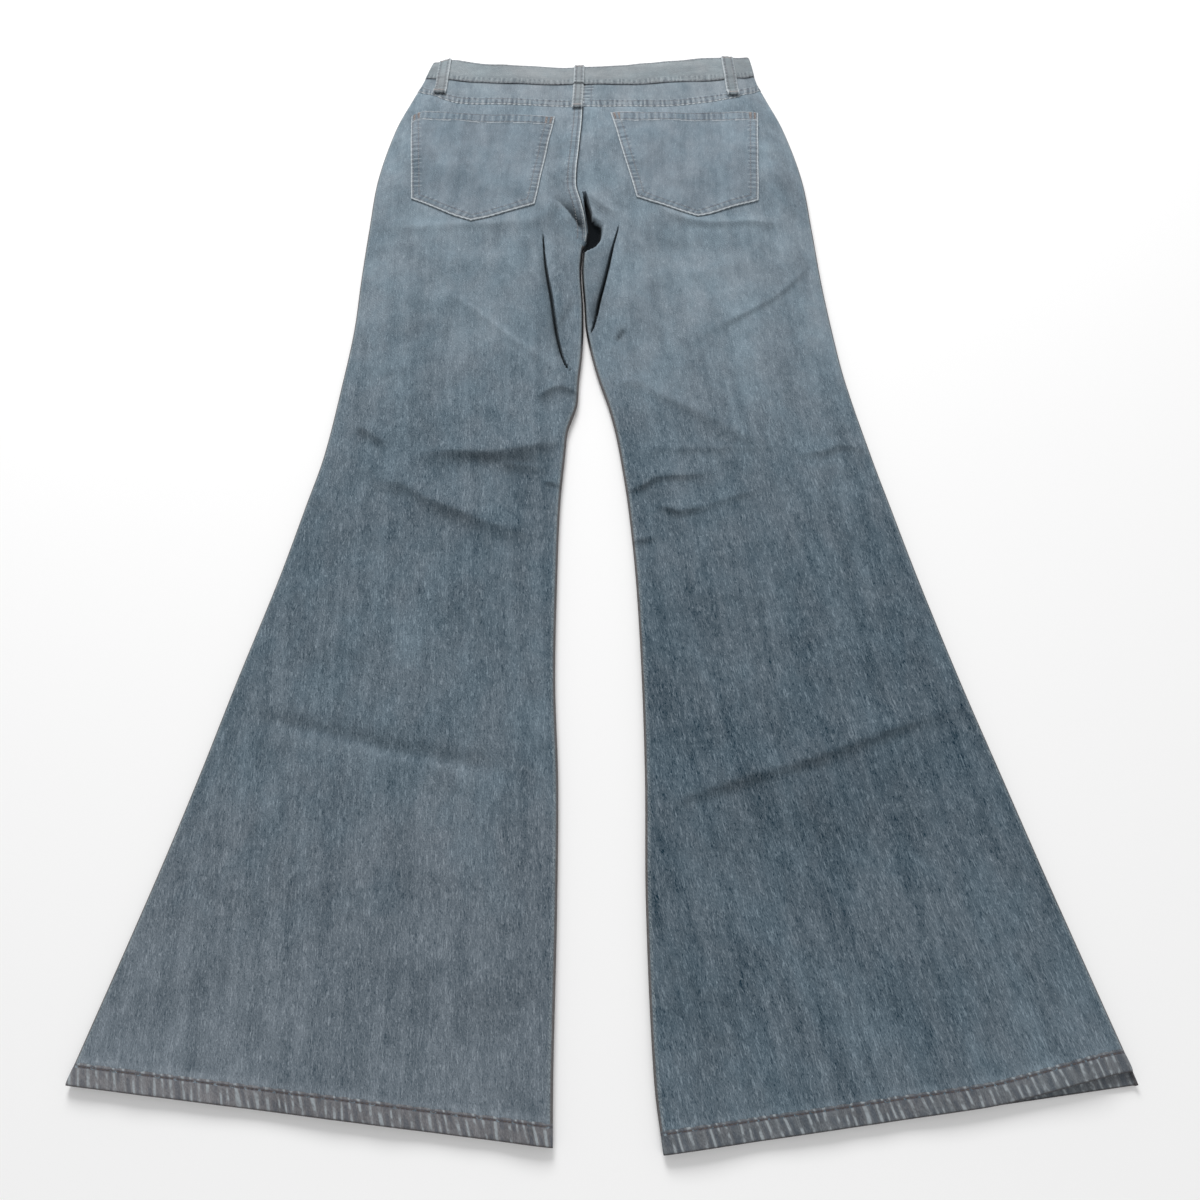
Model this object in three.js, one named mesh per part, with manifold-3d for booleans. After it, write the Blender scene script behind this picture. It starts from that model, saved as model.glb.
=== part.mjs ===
// Flared jeans laid face down on a flat surface: the back is up, the waist is far and the hems are near.
// Millimetres. X runs from the wearer's left leg to the right, Y from the hems to the waist, Z up.
// Every piece of cloth is a wall between two skins that follow the back's surface or the front's.

import * as THREE from 'three';
import { mergeVertices } from 'three/addons/utils/BufferGeometryUtils.js';
import Module from 'manifold-3d';

const wasm = await Module();
wasm.setup();

const { lerp, smoothstep, clamp } = THREE.MathUtils;

// Thicknesses and gaps
const DENIM = 1.2;
const HEM_THICK = 2.2;
const BAND_THICK = 2.6;
const LOOP_THICK = 1.8;
const FRONT_LOOP_THICK = 1.2;
const SEAM_GAP = 0.3;
const HEM_PROUD = 0.4;
const BAND_PROUD = 0.8;

// How a leg is rounded where it turns from the front to the back
const FRONT_CURL = 3.2;
const SEAM_LEVEL = 3.5;
const BACK_ROLL = 4;
const ROLL_SPREAD = 1.15;
const SWELL_WIDTH = 34;

// Heights along the garment
const CROTCH_Y = 245;
const SEAM_RISE = 65;
const HEM_HEIGHT = 12;
const PIT_FLOOR = 3.6;
const INSEAM_BLEND = 7;
const BACK_SEAM_BLEND = 5;
const FRONT_SEAM_BLEND = 10;
const FOLDS_FADE_FROM = 1;
const FOLDS_FADE_TO = 9;
const PIT_FADE_FROM = 0.5;
const PIT_FADE_TO = 3;

// The front's fly, button and pocket mouths
const FLY_LAP = 7;
const LAP_CLEARANCE = 2;
const FLY_END_Y = 330;
const UNDERLAP = 32;
const FRONT_LIFT = 1.6;
const LIFT_FROM_Y = 330;
const LIFT_FULL_Y = 440;
const LIFT_SIDE_FROM = 4;
const LIFT_SIDE_FULL = 50;
const LAP_FADE_FROM = 4;
const LAP_FADE_TO = 18;
const FLY_FOOT_FROM = 22;
const FLY_FOOT_TO = 8;
const FLY_FOOT_END = 6;
const BUTTON_Y = 458;
const BUTTON_LIFT = 1.7;
const BUTTON_LIFT_FULL = 14;
const BUTTON_LIFT_END = 50;
const MOUTH_WIDTH = 92;
const MOUTH_DEPTH = 74;
const MOUTH_TOP_Y = 510;
const MOUTH_CURL_FADE = 6;
const FACING_MARGIN = 12;
const UNDERLAP_RISE_FROM = 2;
const UNDERLAP_RISE_TO = 30;

// Belt loops
const LOOP_WIDTH = 14;
const LOOP_REACH = 30;
const FRONT_LOOP_LENGTH = 46;

// The right leg's back hem has slipped up at its outer end and lifted off the front hem
const HEM_SLIP = 8;
const HEM_SLIP_SHARE = 0.34;
const HEM_CURL_UP = 4;
const CURL_UP_REACH = 60;
const SLIP_FADE_FROM = -500;
const SLIP_FADE_TO = -440;

// Points across a piece of the front
const FRONT_COLUMNS = 7;
const BAND_COLUMNS = 12;
const FACING_COLUMNS = 6;
const FACING_ROWS = 6;

// The two side seams, from the hems to the waist
const sideSeams = [
  { y: -504, left: -348.5, right: 348.5 },
  { y: -376, left: -317.7, right: 316.8 },
  { y: -304, left: -302, right: 299.7 },
  { y: -224, left: -286.2, right: 280.9 },
  { y: -136, left: -267.9, right: 262.4 },
  { y: -63, left: -255.2, right: 248.7 },
  { y: -11, left: -246.6, right: 239.2 },
  { y: 73, left: -240.3, right: 226.1 },
  { y: 134, left: -237.3, right: 220.9 },
  { y: 198, left: -238.1, right: 217.3 },
  { y: 267, left: -238, right: 215.5 },
  { y: 341, left: -236.7, right: 212.5 },
  { y: 420, left: -225.5, right: 199.4 },
  { y: 470, left: -211.4, right: 184.8 },
  { y: 502, left: -201.7, right: 176 },
  { y: 530, left: -195, right: 173 },
  { y: 545, left: -190, right: 171 },
];

// The two inseams, from the hems to the crotch
const inseams = [
  { y: -545, left: -31.2, right: 38.7 },
  { y: -501, left: -32, right: 33.6 },
  { y: -392, left: -31.7, right: 30.8 },
  { y: -304, left: -32.8, right: 32.1 },
  { y: -224, left: -36.8, right: 31.4 },
  { y: -136, left: -37.1, right: 28.3 },
  { y: -63, left: -36, right: 22.7 },
  { y: -11, left: -32.6, right: 16.3 },
  { y: 16, left: -30.3, right: 12 },
  { y: 44, left: -22.5, right: 5.8 },
  { y: 73, left: -21, right: -2.4 },
  { y: 103, left: -18.5, right: -9 },
  { y: 134, left: -17.5, right: -14 },
  { y: 166, left: -18, right: -15.6 },
  { y: 210, left: -20.4, right: -18.4 },
  { y: 240, left: -18.7, right: -16.6 },
];

// The centre seam, from the crotch to the waist
const centreSeam = [
  { y: 245, x: -16.5 },
  { y: 258, x: -15.5 },
  { y: 282, x: -17.8 },
  { y: 296, x: -21 },
  { y: 321, x: -26.4 },
  { y: 386, x: -23.2 },
  { y: 425, x: -21.1 },
  { y: 479, x: -20.4 },
  { y: 545, x: -20.4 },
];

// How high the back stands along the middle of a leg and of the seat
const backHeights = [
  { y: -504, height: 6.4 },
  { y: -400, height: 6.6 },
  { y: -224, height: 7.5 },
  { y: -63, height: 9 },
  { y: 73, height: 10.5 },
  { y: 198, height: 12.5 },
  { y: 267, height: 15 },
  { y: 341, height: 17.5 },
  { y: 420, height: 17.5 },
  { y: 480, height: 16 },
  { y: 545, height: 14 },
];

// The waistband's edges and the yoke's lower seam across the waist
const waist = [
  { x: -205, backTop: 537, backBottom: 508, yokeSeam: 486, frontTop: 537, frontBottom: 508 },
  { x: -172, backTop: 527, backBottom: 490, yokeSeam: 459, frontTop: 516, frontBottom: 484 },
  { x: -113, backTop: 517, backBottom: 483.5, yokeSeam: 451, frontTop: 489, frontBottom: 457 },
  { x: -20, backTop: 512, backBottom: 481.5, yokeSeam: 447.5, frontTop: 474, frontBottom: 442 },
  { x: 44, backTop: 519, backBottom: 483, yokeSeam: 448, frontTop: 482, frontBottom: 450 },
  { x: 110, backTop: 528, backBottom: 487, yokeSeam: 453, frontTop: 506, frontBottom: 474 },
  { x: 150, backTop: 534, backBottom: 494, yokeSeam: 465, frontTop: 526, frontBottom: 492 },
  { x: 180, backTop: 547, backBottom: 513, yokeSeam: 490, frontTop: 547, frontBottom: 513 },
];

// Each leg's hem, from its outer end to its inner end
const hems = { left: { outer: -504, inner: -539 }, right: { outer: -504, inner: -543 } };

// The long slit beside each inseam: how far in from the inner edge it runs
const slits = {
  left: [
    { y: 60, inset: 16 },
    { y: 90, inset: 14 },
    { y: 101, inset: 19 },
    { y: 130, inset: 26 },
    { y: 170, inset: 31 },
    { y: 212, inset: 35 },
    { y: 254, inset: 43 },
    { y: 320, inset: 43 },
  ],
  right: [
    { y: 110, inset: 13 },
    { y: 134, inset: 12 },
    { y: 169, inset: 14 },
    { y: 197, inset: 22 },
    { y: 231, inset: 27 },
    { y: 262, inset: 33 },
    { y: 320, inset: 38 },
  ],
};

// The largest folds of the back: rise is positive on a ridge and negative in a trough
const folds = {
  left: [
    {
      name: 'slit',
      rise: -6.5,
      width: 3,
      path: [[-59.5, 256], [-55.6, 212], [-49, 170], [-43.6, 130], [-37.8, 101], [-33, 90]],
    },
    {
      name: 'crotch hollow',
      rise: -6,
      width: 8,
      path: [[-38, 306], [-34, 292], [-25, 268]],
    },
    {
      name: 'crotch ridge',
      rise: 2,
      width: 7,
      path: [[-42, 318], [-52, 292], [-54, 262]],
    },
    {
      name: 'thigh ridge',
      rise: 1.8,
      width: 7,
      path: [[-98, 118], [-71, 101], [-50, 82], [-30, 66]],
    },
    {
      name: 'thigh trough',
      rise: -2.4,
      width: 8,
      path: [[-62, 60], [-45, 55], [-27, 58]],
    },
    {
      name: 'knee ridge',
      rise: 1.8,
      width: 8,
      path: [[-154, -4], [-113, -6], [-90, -12], [-48, 4]],
    },
    {
      name: 'knee trough',
      rise: -2.4,
      width: 8,
      path: [[-158, -22], [-113, -23], [-90, -31], [-48, -24]],
    },
    {
      name: 'lower knee trough',
      rise: -2,
      width: 8,
      path: [[-167, -51], [-142, -69], [-109, -82], [-71, -99]],
    },
    {
      name: 'outer knee trough',
      rise: -1.6,
      width: 8,
      path: [[-222, 20], [-190, -6]],
    },
    {
      name: 'calf ridge',
      rise: 1.4,
      width: 9,
      path: [[-280, -238], [-206, -256], [-124, -272], [-52, -288]],
    },
    {
      name: 'calf trough',
      rise: -1.8,
      width: 9,
      path: [[-288, -262], [-207, -279], [-124, -296], [-52, -312]],
    },
  ],
  right: [
    {
      name: 'slit',
      rise: -6.5,
      width: 3,
      path: [[17.6, 262], [10.4, 231], [4.1, 197], [-2, 169], [-3, 140]],
    },
    {
      name: 'crotch lip',
      rise: 2.4,
      width: 6,
      path: [[-12, 309], [2, 288], [18, 276]],
    },
    {
      name: 'crotch dimple',
      rise: -2.5,
      width: 9,
      path: [[7, 299], [22, 284]],
    },
    {
      name: 'thigh crease',
      rise: -1.8,
      width: 7,
      path: [[104, 131], [118, 133], [144, 152], [176, 172], [196, 197]],
    },
    {
      name: 'knee ridge',
      rise: 1.6,
      width: 8,
      path: [[38, 6], [80, 12], [114, 12], [152, 8]],
    },
    {
      name: 'knee trough',
      rise: -1.8,
      width: 9,
      path: [[28, -48], [48, -42], [84, -38], [120, -46]],
    },
    {
      name: 'lower knee trough',
      rise: -2,
      width: 8,
      path: [[50, -72], [74, -80], [96, -76], [134, -64]],
    },
    {
      name: 'outer knee trough',
      rise: -1.5,
      width: 8,
      path: [[186, -16], [229, -6]],
    },
    {
      name: 'calf ridge',
      rise: 1.4,
      width: 9,
      path: [[36, -309], [96, -296], [174, -269], [250, -246], [284, -238]],
    },
    {
      name: 'calf trough',
      rise: -1.8,
      width: 9,
      path: [[38, -335], [96, -322], [174, -295], [250, -272], [290, -262]],
    },
  ],
};

// The pit right of the centre seam, where the seat dives between the legs
const pit = [
  { x: -13, y: 304, width: 1.6 },
  { x: -8.5, y: 274, width: 4.5 },
  { x: -5, y: 256, width: 6.5 },
  { x: -9, y: 247, width: 5 },
];

// The back pockets' corners, from the outer top corner round by the tip
const pockets = {
  left: {
    topOuter: [-207.5, 433],
    topInner: [-50.4, 424],
    bottomInner: [-68.4, 291],
    tip: [-132, 266],
    bottomOuter: [-195.4, 298],
  },
  right: {
    topOuter: [170.4, 431],
    topInner: [9.9, 431],
    bottomInner: [36, 300.6],
    tip: [97.4, 272.5],
    bottomOuter: [161.2, 297],
  },
};

// The belt loops on the back: where the middle of each end lies
const backLoops = [
  { name: 'belt_loop_centre_back', top: [-24.1, 513.5], bottom: [-26.6, 436] },
  { name: 'belt_loop_back_left', top: [-172.5, 529.5], bottom: [-181, 461] },
  { name: 'belt_loop_back_right', top: [144, 535], bottom: [148, 458] },
];

// The belt loops on the front, which lies on the surface
const frontLoops = [
  { name: 'belt_loop_front_left', x: -112 },
  { name: 'belt_loop_front_right', x: 74 },
];

// Where a back panel has its rows: the end of each stretch and the step within it
const backStretches = [
  { name: 'hem', until: -330, step: 34 },
  { name: 'calf folds', until: -240, step: 18 },
  { name: 'shin', until: -112, step: 32 },
  { name: 'knee folds', until: 68, step: 18 },
  { name: 'thigh', until: 228, step: 23 },
  { name: 'crotch', until: 310, step: 11 },
  { name: 'seat', until: 440, step: 33 },
];

// The same for a front panel, up to the foot of its pocket mouth
const frontStretches = [
  { name: 'leg', until: 225, step: 47 },
  { name: 'crotch', until: 255, step: 15 },
  { name: 'below the fly', until: FLY_END_Y - FLY_FOOT_FROM, step: 15 },
  { name: 'foot of the fly', until: FLY_END_Y + FLY_FOOT_END, step: 14 },
  { name: 'fly', until: 380, step: 30 },
];

// Finishes
const denimUpper = new THREE.MeshStandardMaterial({ color: 0x8395a3, roughness: 0.9, metalness: 0 });
const denimLower = new THREE.MeshStandardMaterial({ color: 0x6b7d8b, roughness: 0.9, metalness: 0 });
const denimTrim = new THREE.MeshStandardMaterial({ color: 0x8d979f, roughness: 0.88, metalness: 0 });
const steel = new THREE.MeshStandardMaterial({ color: 0xb4b2ac, roughness: 0.35, metalness: 1 });

// A smooth curve through one column of a table, read at any place of its key column
function curveThrough(table, key, column) {
  const at = table.map((row) => row[key]);
  const value = table.map((row) => row[column]);
  const last = at.length - 1;
  const slope = value.map((_, i) => {
    const before = Math.max(i - 1, 0);
    const after = Math.min(i + 1, last);
    return (value[after] - value[before]) / (at[after] - at[before]);
  });
  return (place) => {
    if (place <= at[0]) return value[0] + slope[0] * (place - at[0]);
    if (place >= at[last]) return value[last] + slope[last] * (place - at[last]);
    const i = at.findIndex((from, k) => place >= from && place < at[k + 1]);
    const span = at[i + 1] - at[i];
    const t = (place - at[i]) / span;
    const far = t * t * (3 - 2 * t);
    const leaving = t * (1 - t) * (1 - t) * span * slope[i];
    const arriving = t * t * (t - 1) * span * slope[i + 1];
    return lerp(value[i], value[i + 1], far) + leaving + arriving;
  };
}

const centreX = curveThrough(centreSeam, 'y', 'x');
const heightAlong = curveThrough(backHeights, 'y', 'height');
const waistLine = Object.fromEntries(
  ['backTop', 'backBottom', 'yokeSeam', 'frontTop', 'frontBottom'].map((column) => [
    column,
    curveThrough(waist, 'x', column),
  ]),
);

// A leg knows its two edges, its folds and which way along X its inside lies
function makeLeg(name, inward) {
  const inseam = curveThrough(inseams, 'y', name);
  const seamEdge = (y) => centreX(y) - (inward * SEAM_GAP) / 2;
  const seamShare = (y) => smoothstep(y, CROTCH_Y - INSEAM_BLEND, CROTCH_Y + INSEAM_BLEND);
  return {
    name,
    inward,
    outer: curveThrough(sideSeams, 'y', name),
    inner: (y) => lerp(inseam(y), seamEdge(y), seamShare(y)),
    slitInset: curveThrough(slits[name], 'y', 'inset'),
    folds: folds[name],
    hem: hems[name],
  };
}

const left = makeLeg('left', 1);
const right = makeLeg('right', -1);

// The nearest place on a path of points: how far it is, and how far along the path, from 0 to 1
function nearestOn(path, x, y) {
  const lengths = path.slice(1).map(([px, py], i) => Math.hypot(px - path[i][0], py - path[i][1]));
  const total = lengths.reduce((sum, length) => sum + length, 0);
  let best = { far: Infinity, along: 0 };
  let done = 0;
  lengths.forEach((length, i) => {
    const [ax, ay] = path[i];
    const [bx, by] = path[i + 1];
    const share = clamp(((x - ax) * (bx - ax) + (y - ay) * (by - ay)) / (length * length), 0, 1);
    const far = Math.hypot(x - lerp(ax, bx, share), y - lerp(ay, by, share));
    if (far < best.far) best = { far, along: (done + share * length) / total };
    done += length;
  });
  return best;
}

// What the folds add to the back's height at a place
function foldRise(leg, x, y) {
  let rise = 0;
  for (const fold of leg.folds) {
    const { far, along } = nearestOn(fold.path, x, y);
    const taper = smoothstep(along, -0.02, 0.3) * (1 - smoothstep(along, 0.7, 1.02));
    rise += fold.rise * taper * Math.exp(-((far / fold.width) ** 2));
  }
  return rise;
}

// How deep a place lies in the pit, from 0 to 1
const pitPath = pit.map(({ x, y }) => [x, y]);
const pitWidth = curveThrough(
  pit.map(({ width }, i) => ({ along: i / (pit.length - 1), width })),
  'along',
  'width',
);
function pitShare(x, y) {
  const { far, along } = nearestOn(pitPath, x, y);
  return Math.exp(-((far / pitWidth(along)) ** 4));
}

// A round turn over a distance: its sine rises from 0 at the edge to 1 where the turn ends
const turnCosine = (distance, radius) => clamp(1 - distance / radius, 0, 1);
const turnSine = (distance, radius) => Math.sqrt(1 - turnCosine(distance, radius) ** 2);

// Distances from a place to the leg's two edges
function edgeDistances(leg, x, y) {
  return {
    out: Math.max(0, (x - leg.outer(y)) * leg.inward),
    inside: Math.max(0, (leg.inner(y) - x) * leg.inward),
  };
}

// How much the inner edge is a leg's rounded edge, 1, or a flat seam of the seat, 0
const backLegShare = (y) => 1 - smoothstep(y, CROTCH_Y - BACK_SEAM_BLEND, CROTCH_Y + SEAM_RISE);
const frontLegShare = (y) =>
  1 - smoothstep(y, CROTCH_Y - FRONT_SEAM_BLEND, CROTCH_Y + FRONT_SEAM_BLEND);

// The lift of the right back hem's slipped end
function slippedShare(leg, x, y) {
  if (leg !== right) return 0;
  const along = (x - leg.outer(y)) / (leg.inner(y) - leg.outer(y));
  return (1 - smoothstep(along, 0.02, HEM_SLIP_SHARE)) * (1 - smoothstep(y, SLIP_FADE_FROM, SLIP_FADE_TO));
}

function backTurn(leg, x, y) {
  const roll = Math.min(BACK_ROLL, heightAlong(y) - SEAM_LEVEL);
  const radius = roll * ROLL_SPREAD;
  const { out, inside } = edgeDistances(leg, x, y);
  const share = backLegShare(y);
  return {
    roll,
    sine: turnSine(out, radius) * lerp(1, turnSine(inside, radius), share),
    slope: leg.inward * (turnCosine(inside, radius) * share - turnCosine(out, radius)),
  };
}

// The back's height above its rounded edges: the swell over what lies inside, the folds and the pit
function backCrown(leg, x, y) {
  const { roll, sine } = backTurn(leg, x, y);
  const { out, inside } = edgeDistances(leg, x, y);
  const share = backLegShare(y);
  const swell = smoothstep(out, 0, SWELL_WIDTH) * lerp(1, smoothstep(inside, 0, SWELL_WIDTH), share);
  const clearOf = (edge) => smoothstep(edge, FOLDS_FADE_FROM, FOLDS_FADE_TO);
  const clear = clearOf(out) * clearOf(inside);
  const raised = (heightAlong(y) - SEAM_LEVEL - roll) * swell + foldRise(leg, x, y) * clear;
  const lifted = raised + HEM_CURL_UP * slippedShare(leg, x, y) * smoothstep(out, 2, CURL_UP_REACH);
  const level = SEAM_LEVEL + roll * sine + lifted;
  const sunk = leg === right ? pitShare(x, y) * smoothstep(inside, PIT_FADE_FROM, PIT_FADE_TO) : 0;
  return lifted + sunk * (PIT_FLOOR - level);
}

// A point of the back's outer skin, and the way it faces
function backPoint(leg, x, y) {
  const { roll, sine, slope } = backTurn(leg, x, y);
  const step = 0.5;
  const acrossX = (backCrown(leg, x + step, y) - backCrown(leg, x - step, y)) / (2 * step);
  const alongY = (backCrown(leg, x, y + step) - backCrown(leg, x, y - step)) / (2 * step);
  return {
    point: new THREE.Vector3(x, y, SEAM_LEVEL + roll * sine + backCrown(leg, x, y)),
    facing: new THREE.Vector3(slope - acrossX * sine, -alongY * sine, sine).normalize(),
    sine,
  };
}

// How far the front is held off the surface near the waist, by the button, the fly and the loops
function frontLift(leg, x, y) {
  const away = x - centreX(y);
  const side = Math.max(0, (x - leg.outer(y)) * leg.inward);
  const nearWaist = smoothstep(y, LIFT_FROM_Y, LIFT_FULL_Y);
  const nearButton = 1 - smoothstep(Math.abs(away + FLY_LAP), BUTTON_LIFT_FULL, BUTTON_LIFT_END);
  const clearOfSide = smoothstep(side, LIFT_SIDE_FROM, LIFT_SIDE_FULL);
  const lifted = (FRONT_LIFT + BUTTON_LIFT * nearButton) * nearWaist * clearOfSide;
  const overLap = leg === right ? 1 - smoothstep(away, FLY_LAP + LAP_FADE_FROM, FLY_LAP + LAP_FADE_TO) : 0;
  const aboveFoot = smoothstep(y, FLY_END_Y - FLY_FOOT_FROM, FLY_END_Y - FLY_FOOT_TO);
  return lifted + LAP_CLEARANCE * overLap * aboveFoot;
}

// A point of the front's outer skin, which lies on the surface, and the way it faces
function frontPoint(leg, x, y, curled = 1) {
  const { out, inside } = edgeDistances(leg, x, y);
  const share = frontLegShare(y);
  const outSine = lerp(1, turnSine(out, FRONT_CURL), curled);
  const inSine = lerp(1, turnSine(inside, FRONT_CURL), share);
  const height = frontLift(leg, x, y) + FRONT_CURL * (2 - outSine - inSine);
  const slope = turnCosine(inside, FRONT_CURL) * share - turnCosine(out, FRONT_CURL) * curled;
  return {
    point: new THREE.Vector3(x, y, height),
    facing: new THREE.Vector3(leg.inward * slope, 0, -outSine * inSine).normalize(),
    sine: outSine * inSine,
  };
}

// A line across a leg, from its outer edge to its inner edge, at the height along Y that a rule gives
function lineAcross(rule, outer, inner) {
  const meet = (edge, first) => {
    let x = edge(first);
    for (let turn = 0; turn < 12; turn += 1) x = edge(rule(x));
    return x;
  };
  const from = meet(outer, rule(outer(0)));
  const to = meet(inner, rule(inner(0)));
  return (t) => rule(lerp(from, to, t));
}

// A hem's lower edge as such a line, which is straight from end to end
const hemLine = (leg, above) => (t) => lerp(leg.hem.outer, leg.hem.inner, t) + above;

// The same for the back, which has slipped up at the right leg's outer end
function backHemLine(leg, above) {
  const line = hemLine(leg, above);
  return (t) => line(t) + (leg === right ? HEM_SLIP * (1 - smoothstep(t, 0, HEM_SLIP_SHARE)) : 0);
}

// Rows of points between two lines across a leg, each row spaced by the same rule
function rowsBetween(lower, upper, shares, outer, inner, spacing, place) {
  return shares.map((share) => {
    const lineAt = (t) => lerp(lower(t), upper(t), share);
    const from = outer(lineAt(0));
    const to = inner(lineAt(1));
    return spacing(from, to, lineAt(1)).map((x) => place(x, lineAt((x - from) / (to - from))));
  });
}

// Even shares from 0 to 1
const sharesOf = (count) => Array.from({ length: count }, (_, k) => k / (count - 1));

// Places across a back panel: close together at the rolled edges and beside the slit
const TURN_PLACES = [0, 0.3, 1];
const SWELL_PLACES = [11, 19, 30];
const MIDDLE_SHARES = [0.2, 0.4, 0.6, 0.8];
const SLIT_SPREAD = 3.5;
const SLIT_INSETS = { least: 12, narrow: 20, most: 43 };
const SLIT_SPAN = { from: 60, to: 320 };
const NARROW_STEPS = [0.4, 0.8, 1.2];
const PIT_INSET = 9;
const ROLL_MARGIN = 0.4;
function backSpacing(leg) {
  return (from, to, innerY) => {
    const roll = Math.min(BACK_ROLL, heightAlong(innerY) - SEAM_LEVEL) * ROLL_SPREAD;
    const inset = leg.slitInset(clamp(innerY, SLIT_SPAN.from, SLIT_SPAN.to));
    const slit = clamp(inset, SLIT_INSETS.least, SLIT_INSETS.most);
    const nearer = slit - SLIT_SPREAD;
    const width = Math.abs(to - from);
    const firstHalf = [...TURN_PLACES.map((share) => share * roll), ...SWELL_PLACES];
    const start = firstHalf[firstHalf.length - 1];
    const middle = MIDDLE_SHARES.map((share) => lerp(start, width - slit - SLIT_SPREAD, share));
    const wide = [lerp(nearer, PIT_INSET, 0.4), PIT_INSET, roll + ROLL_MARGIN];
    const crotch = slit > SLIT_INSETS.narrow ? wide : NARROW_STEPS.map((step) => nearer - step);
    const insets = [slit + SLIT_SPREAD, slit, nearer, ...crotch];
    const lastHalf = TURN_PLACES.toReversed().map((share) => width - share * roll);
    const places = [...firstHalf, ...middle, ...insets.map((far) => width - far), ...lastHalf];
    return places.map((place) => from + leg.inward * place);
  };
}

// Places across the front: close together at the curled edges and even between
function frontSpacing(leg, count) {
  return (from, to) => {
    const width = Math.abs(to - from);
    const curl = TURN_PLACES.map((share) => share * FRONT_CURL);
    const start = curl[curl.length - 1];
    const middle = sharesOf(count + 2).slice(1, -1).map((share) => lerp(start, width - start, share));
    const last = TURN_PLACES.toReversed().map((share) => width - share * FRONT_CURL);
    return [...curl, ...middle, ...last].map((place) => from + leg.inward * place);
  };
}

// A closed solid from points and triangles, turned so that its faces point out
function solidFrom(points, triangles) {
  const volume = triangles.reduce((sum, [a, b, c]) => {
    const cross = new THREE.Vector3().crossVectors(points[b], points[c]);
    return sum + points[a].dot(cross);
  }, 0);
  const faces = volume > 0 ? triangles : triangles.map(([a, b, c]) => [a, c, b]);
  const geometry = new THREE.BufferGeometry();
  const coordinates = points.flatMap((point) => point.toArray());
  geometry.setAttribute('position', new THREE.Float32BufferAttribute(coordinates, 3));
  geometry.setIndex(faces.flat());
  geometry.computeVertexNormals();
  return geometry;
}

// The wall between two skins: each point of the grid is moved along the way it faces
function wall(grid, outside, inside, joined = false) {
  const rows = grid.length;
  const columns = grid[0].length;
  const skin = (offset) =>
    grid.flat().map((spot) => {
      const proud = typeof offset === 'function' ? offset(spot) : offset;
      return spot.point.clone().addScaledVector(spot.facing, proud);
    });
  const points = [...skin(outside), ...skin(inside)];
  const under = rows * columns;
  const at = (row, column) => row * columns + (column % columns);
  const triangles = [];
  const quad = (a, b, c, d) => triangles.push([a, b, c], [a, c, d]);
  const spans = joined ? columns : columns - 1;
  for (let row = 0; row < rows - 1; row += 1) {
    for (let column = 0; column < spans; column += 1) {
      const near = at(row, column);
      const beside = at(row, column + 1);
      const across = at(row + 1, column + 1);
      const ahead = at(row + 1, column);
      quad(near, beside, across, ahead);
      quad(near + under, ahead + under, across + under, beside + under);
    }
  }
  for (let column = 0; column < spans; column += 1) {
    quad(at(0, column + 1), at(0, column), at(0, column) + under, at(0, column + 1) + under);
    const top = rows - 1;
    quad(at(top, column), at(top, column + 1), at(top, column + 1) + under, at(top, column) + under);
  }
  for (let row = 0; !joined && row < rows - 1; row += 1) {
    const end = columns - 1;
    quad(at(row, 0), at(row + 1, 0), at(row + 1, 0) + under, at(row, 0) + under);
    quad(at(row + 1, end), at(row, end), at(row, end) + under, at(row + 1, end) + under);
  }
  return solidFrom(points, triangles);
}

// The part of a solid that lies within an upright outline
const CUTTER_HEIGHT = 40;
function cutTo(geometry, outline) {
  const shape = new THREE.Shape(outline.map(([x, y]) => new THREE.Vector2(x, y)));
  const block = new THREE.ExtrudeGeometry(shape, { depth: CUTTER_HEIGHT, bevelEnabled: false });
  const kept = toManifold(geometry).intersect(toManifold(block));
  return fromManifold(kept);
}

function toManifold(geometry) {
  const bare = geometry.clone();
  bare.deleteAttribute('normal');
  bare.deleteAttribute('uv');
  const merged = mergeVertices(bare, 1e-4);
  return new wasm.Manifold(
    new wasm.Mesh({
      numProp: 3,
      vertProperties: new Float32Array(merged.attributes.position.array),
      triVerts: new Uint32Array(merged.index.array),
    }),
  );
}

function fromManifold(manifold) {
  const mesh = manifold.getMesh();
  const geometry = new THREE.BufferGeometry();
  geometry.setAttribute('position', new THREE.BufferAttribute(mesh.vertProperties, 3));
  geometry.setIndex(new THREE.BufferAttribute(mesh.triVerts, 1));
  geometry.computeVertexNormals();
  return geometry;
}

const garment = new THREE.Group();
function add(name, geometry, material) {
  const mesh = new THREE.Mesh(geometry, material);
  mesh.name = name;
  garment.add(mesh);
}

const acrossBack = (leg, rule) => lineAcross(rule, leg.outer, leg.inner);

// Shares of the way along a leg's inner edge at which a panel has its rows
function rowShares(stretches, start, end) {
  const places = [start];
  for (const { until, step } of stretches) {
    const from = places[places.length - 1];
    const count = Math.max(1, Math.round((until - from) / step));
    for (let k = 1; k <= count; k += 1) places.push(lerp(from, until, k / count));
  }
  return [...places, end].map((place) => (place - start) / (end - start));
}

// Back panel: from above the hem to the yoke seam, over the whole width of the leg
function backPanelGrid(leg) {
  const lower = backHemLine(leg, HEM_HEIGHT + SEAM_GAP);
  const upper = acrossBack(leg, (x) => waistLine.yokeSeam(x) - SEAM_GAP / 2);
  const shares = rowShares(backStretches, lower(1), upper(1));
  const place = (x, y) => backPoint(leg, x, y);
  return rowsBetween(lower, upper, shares, leg.outer, leg.inner, backSpacing(leg), place);
}

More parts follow.
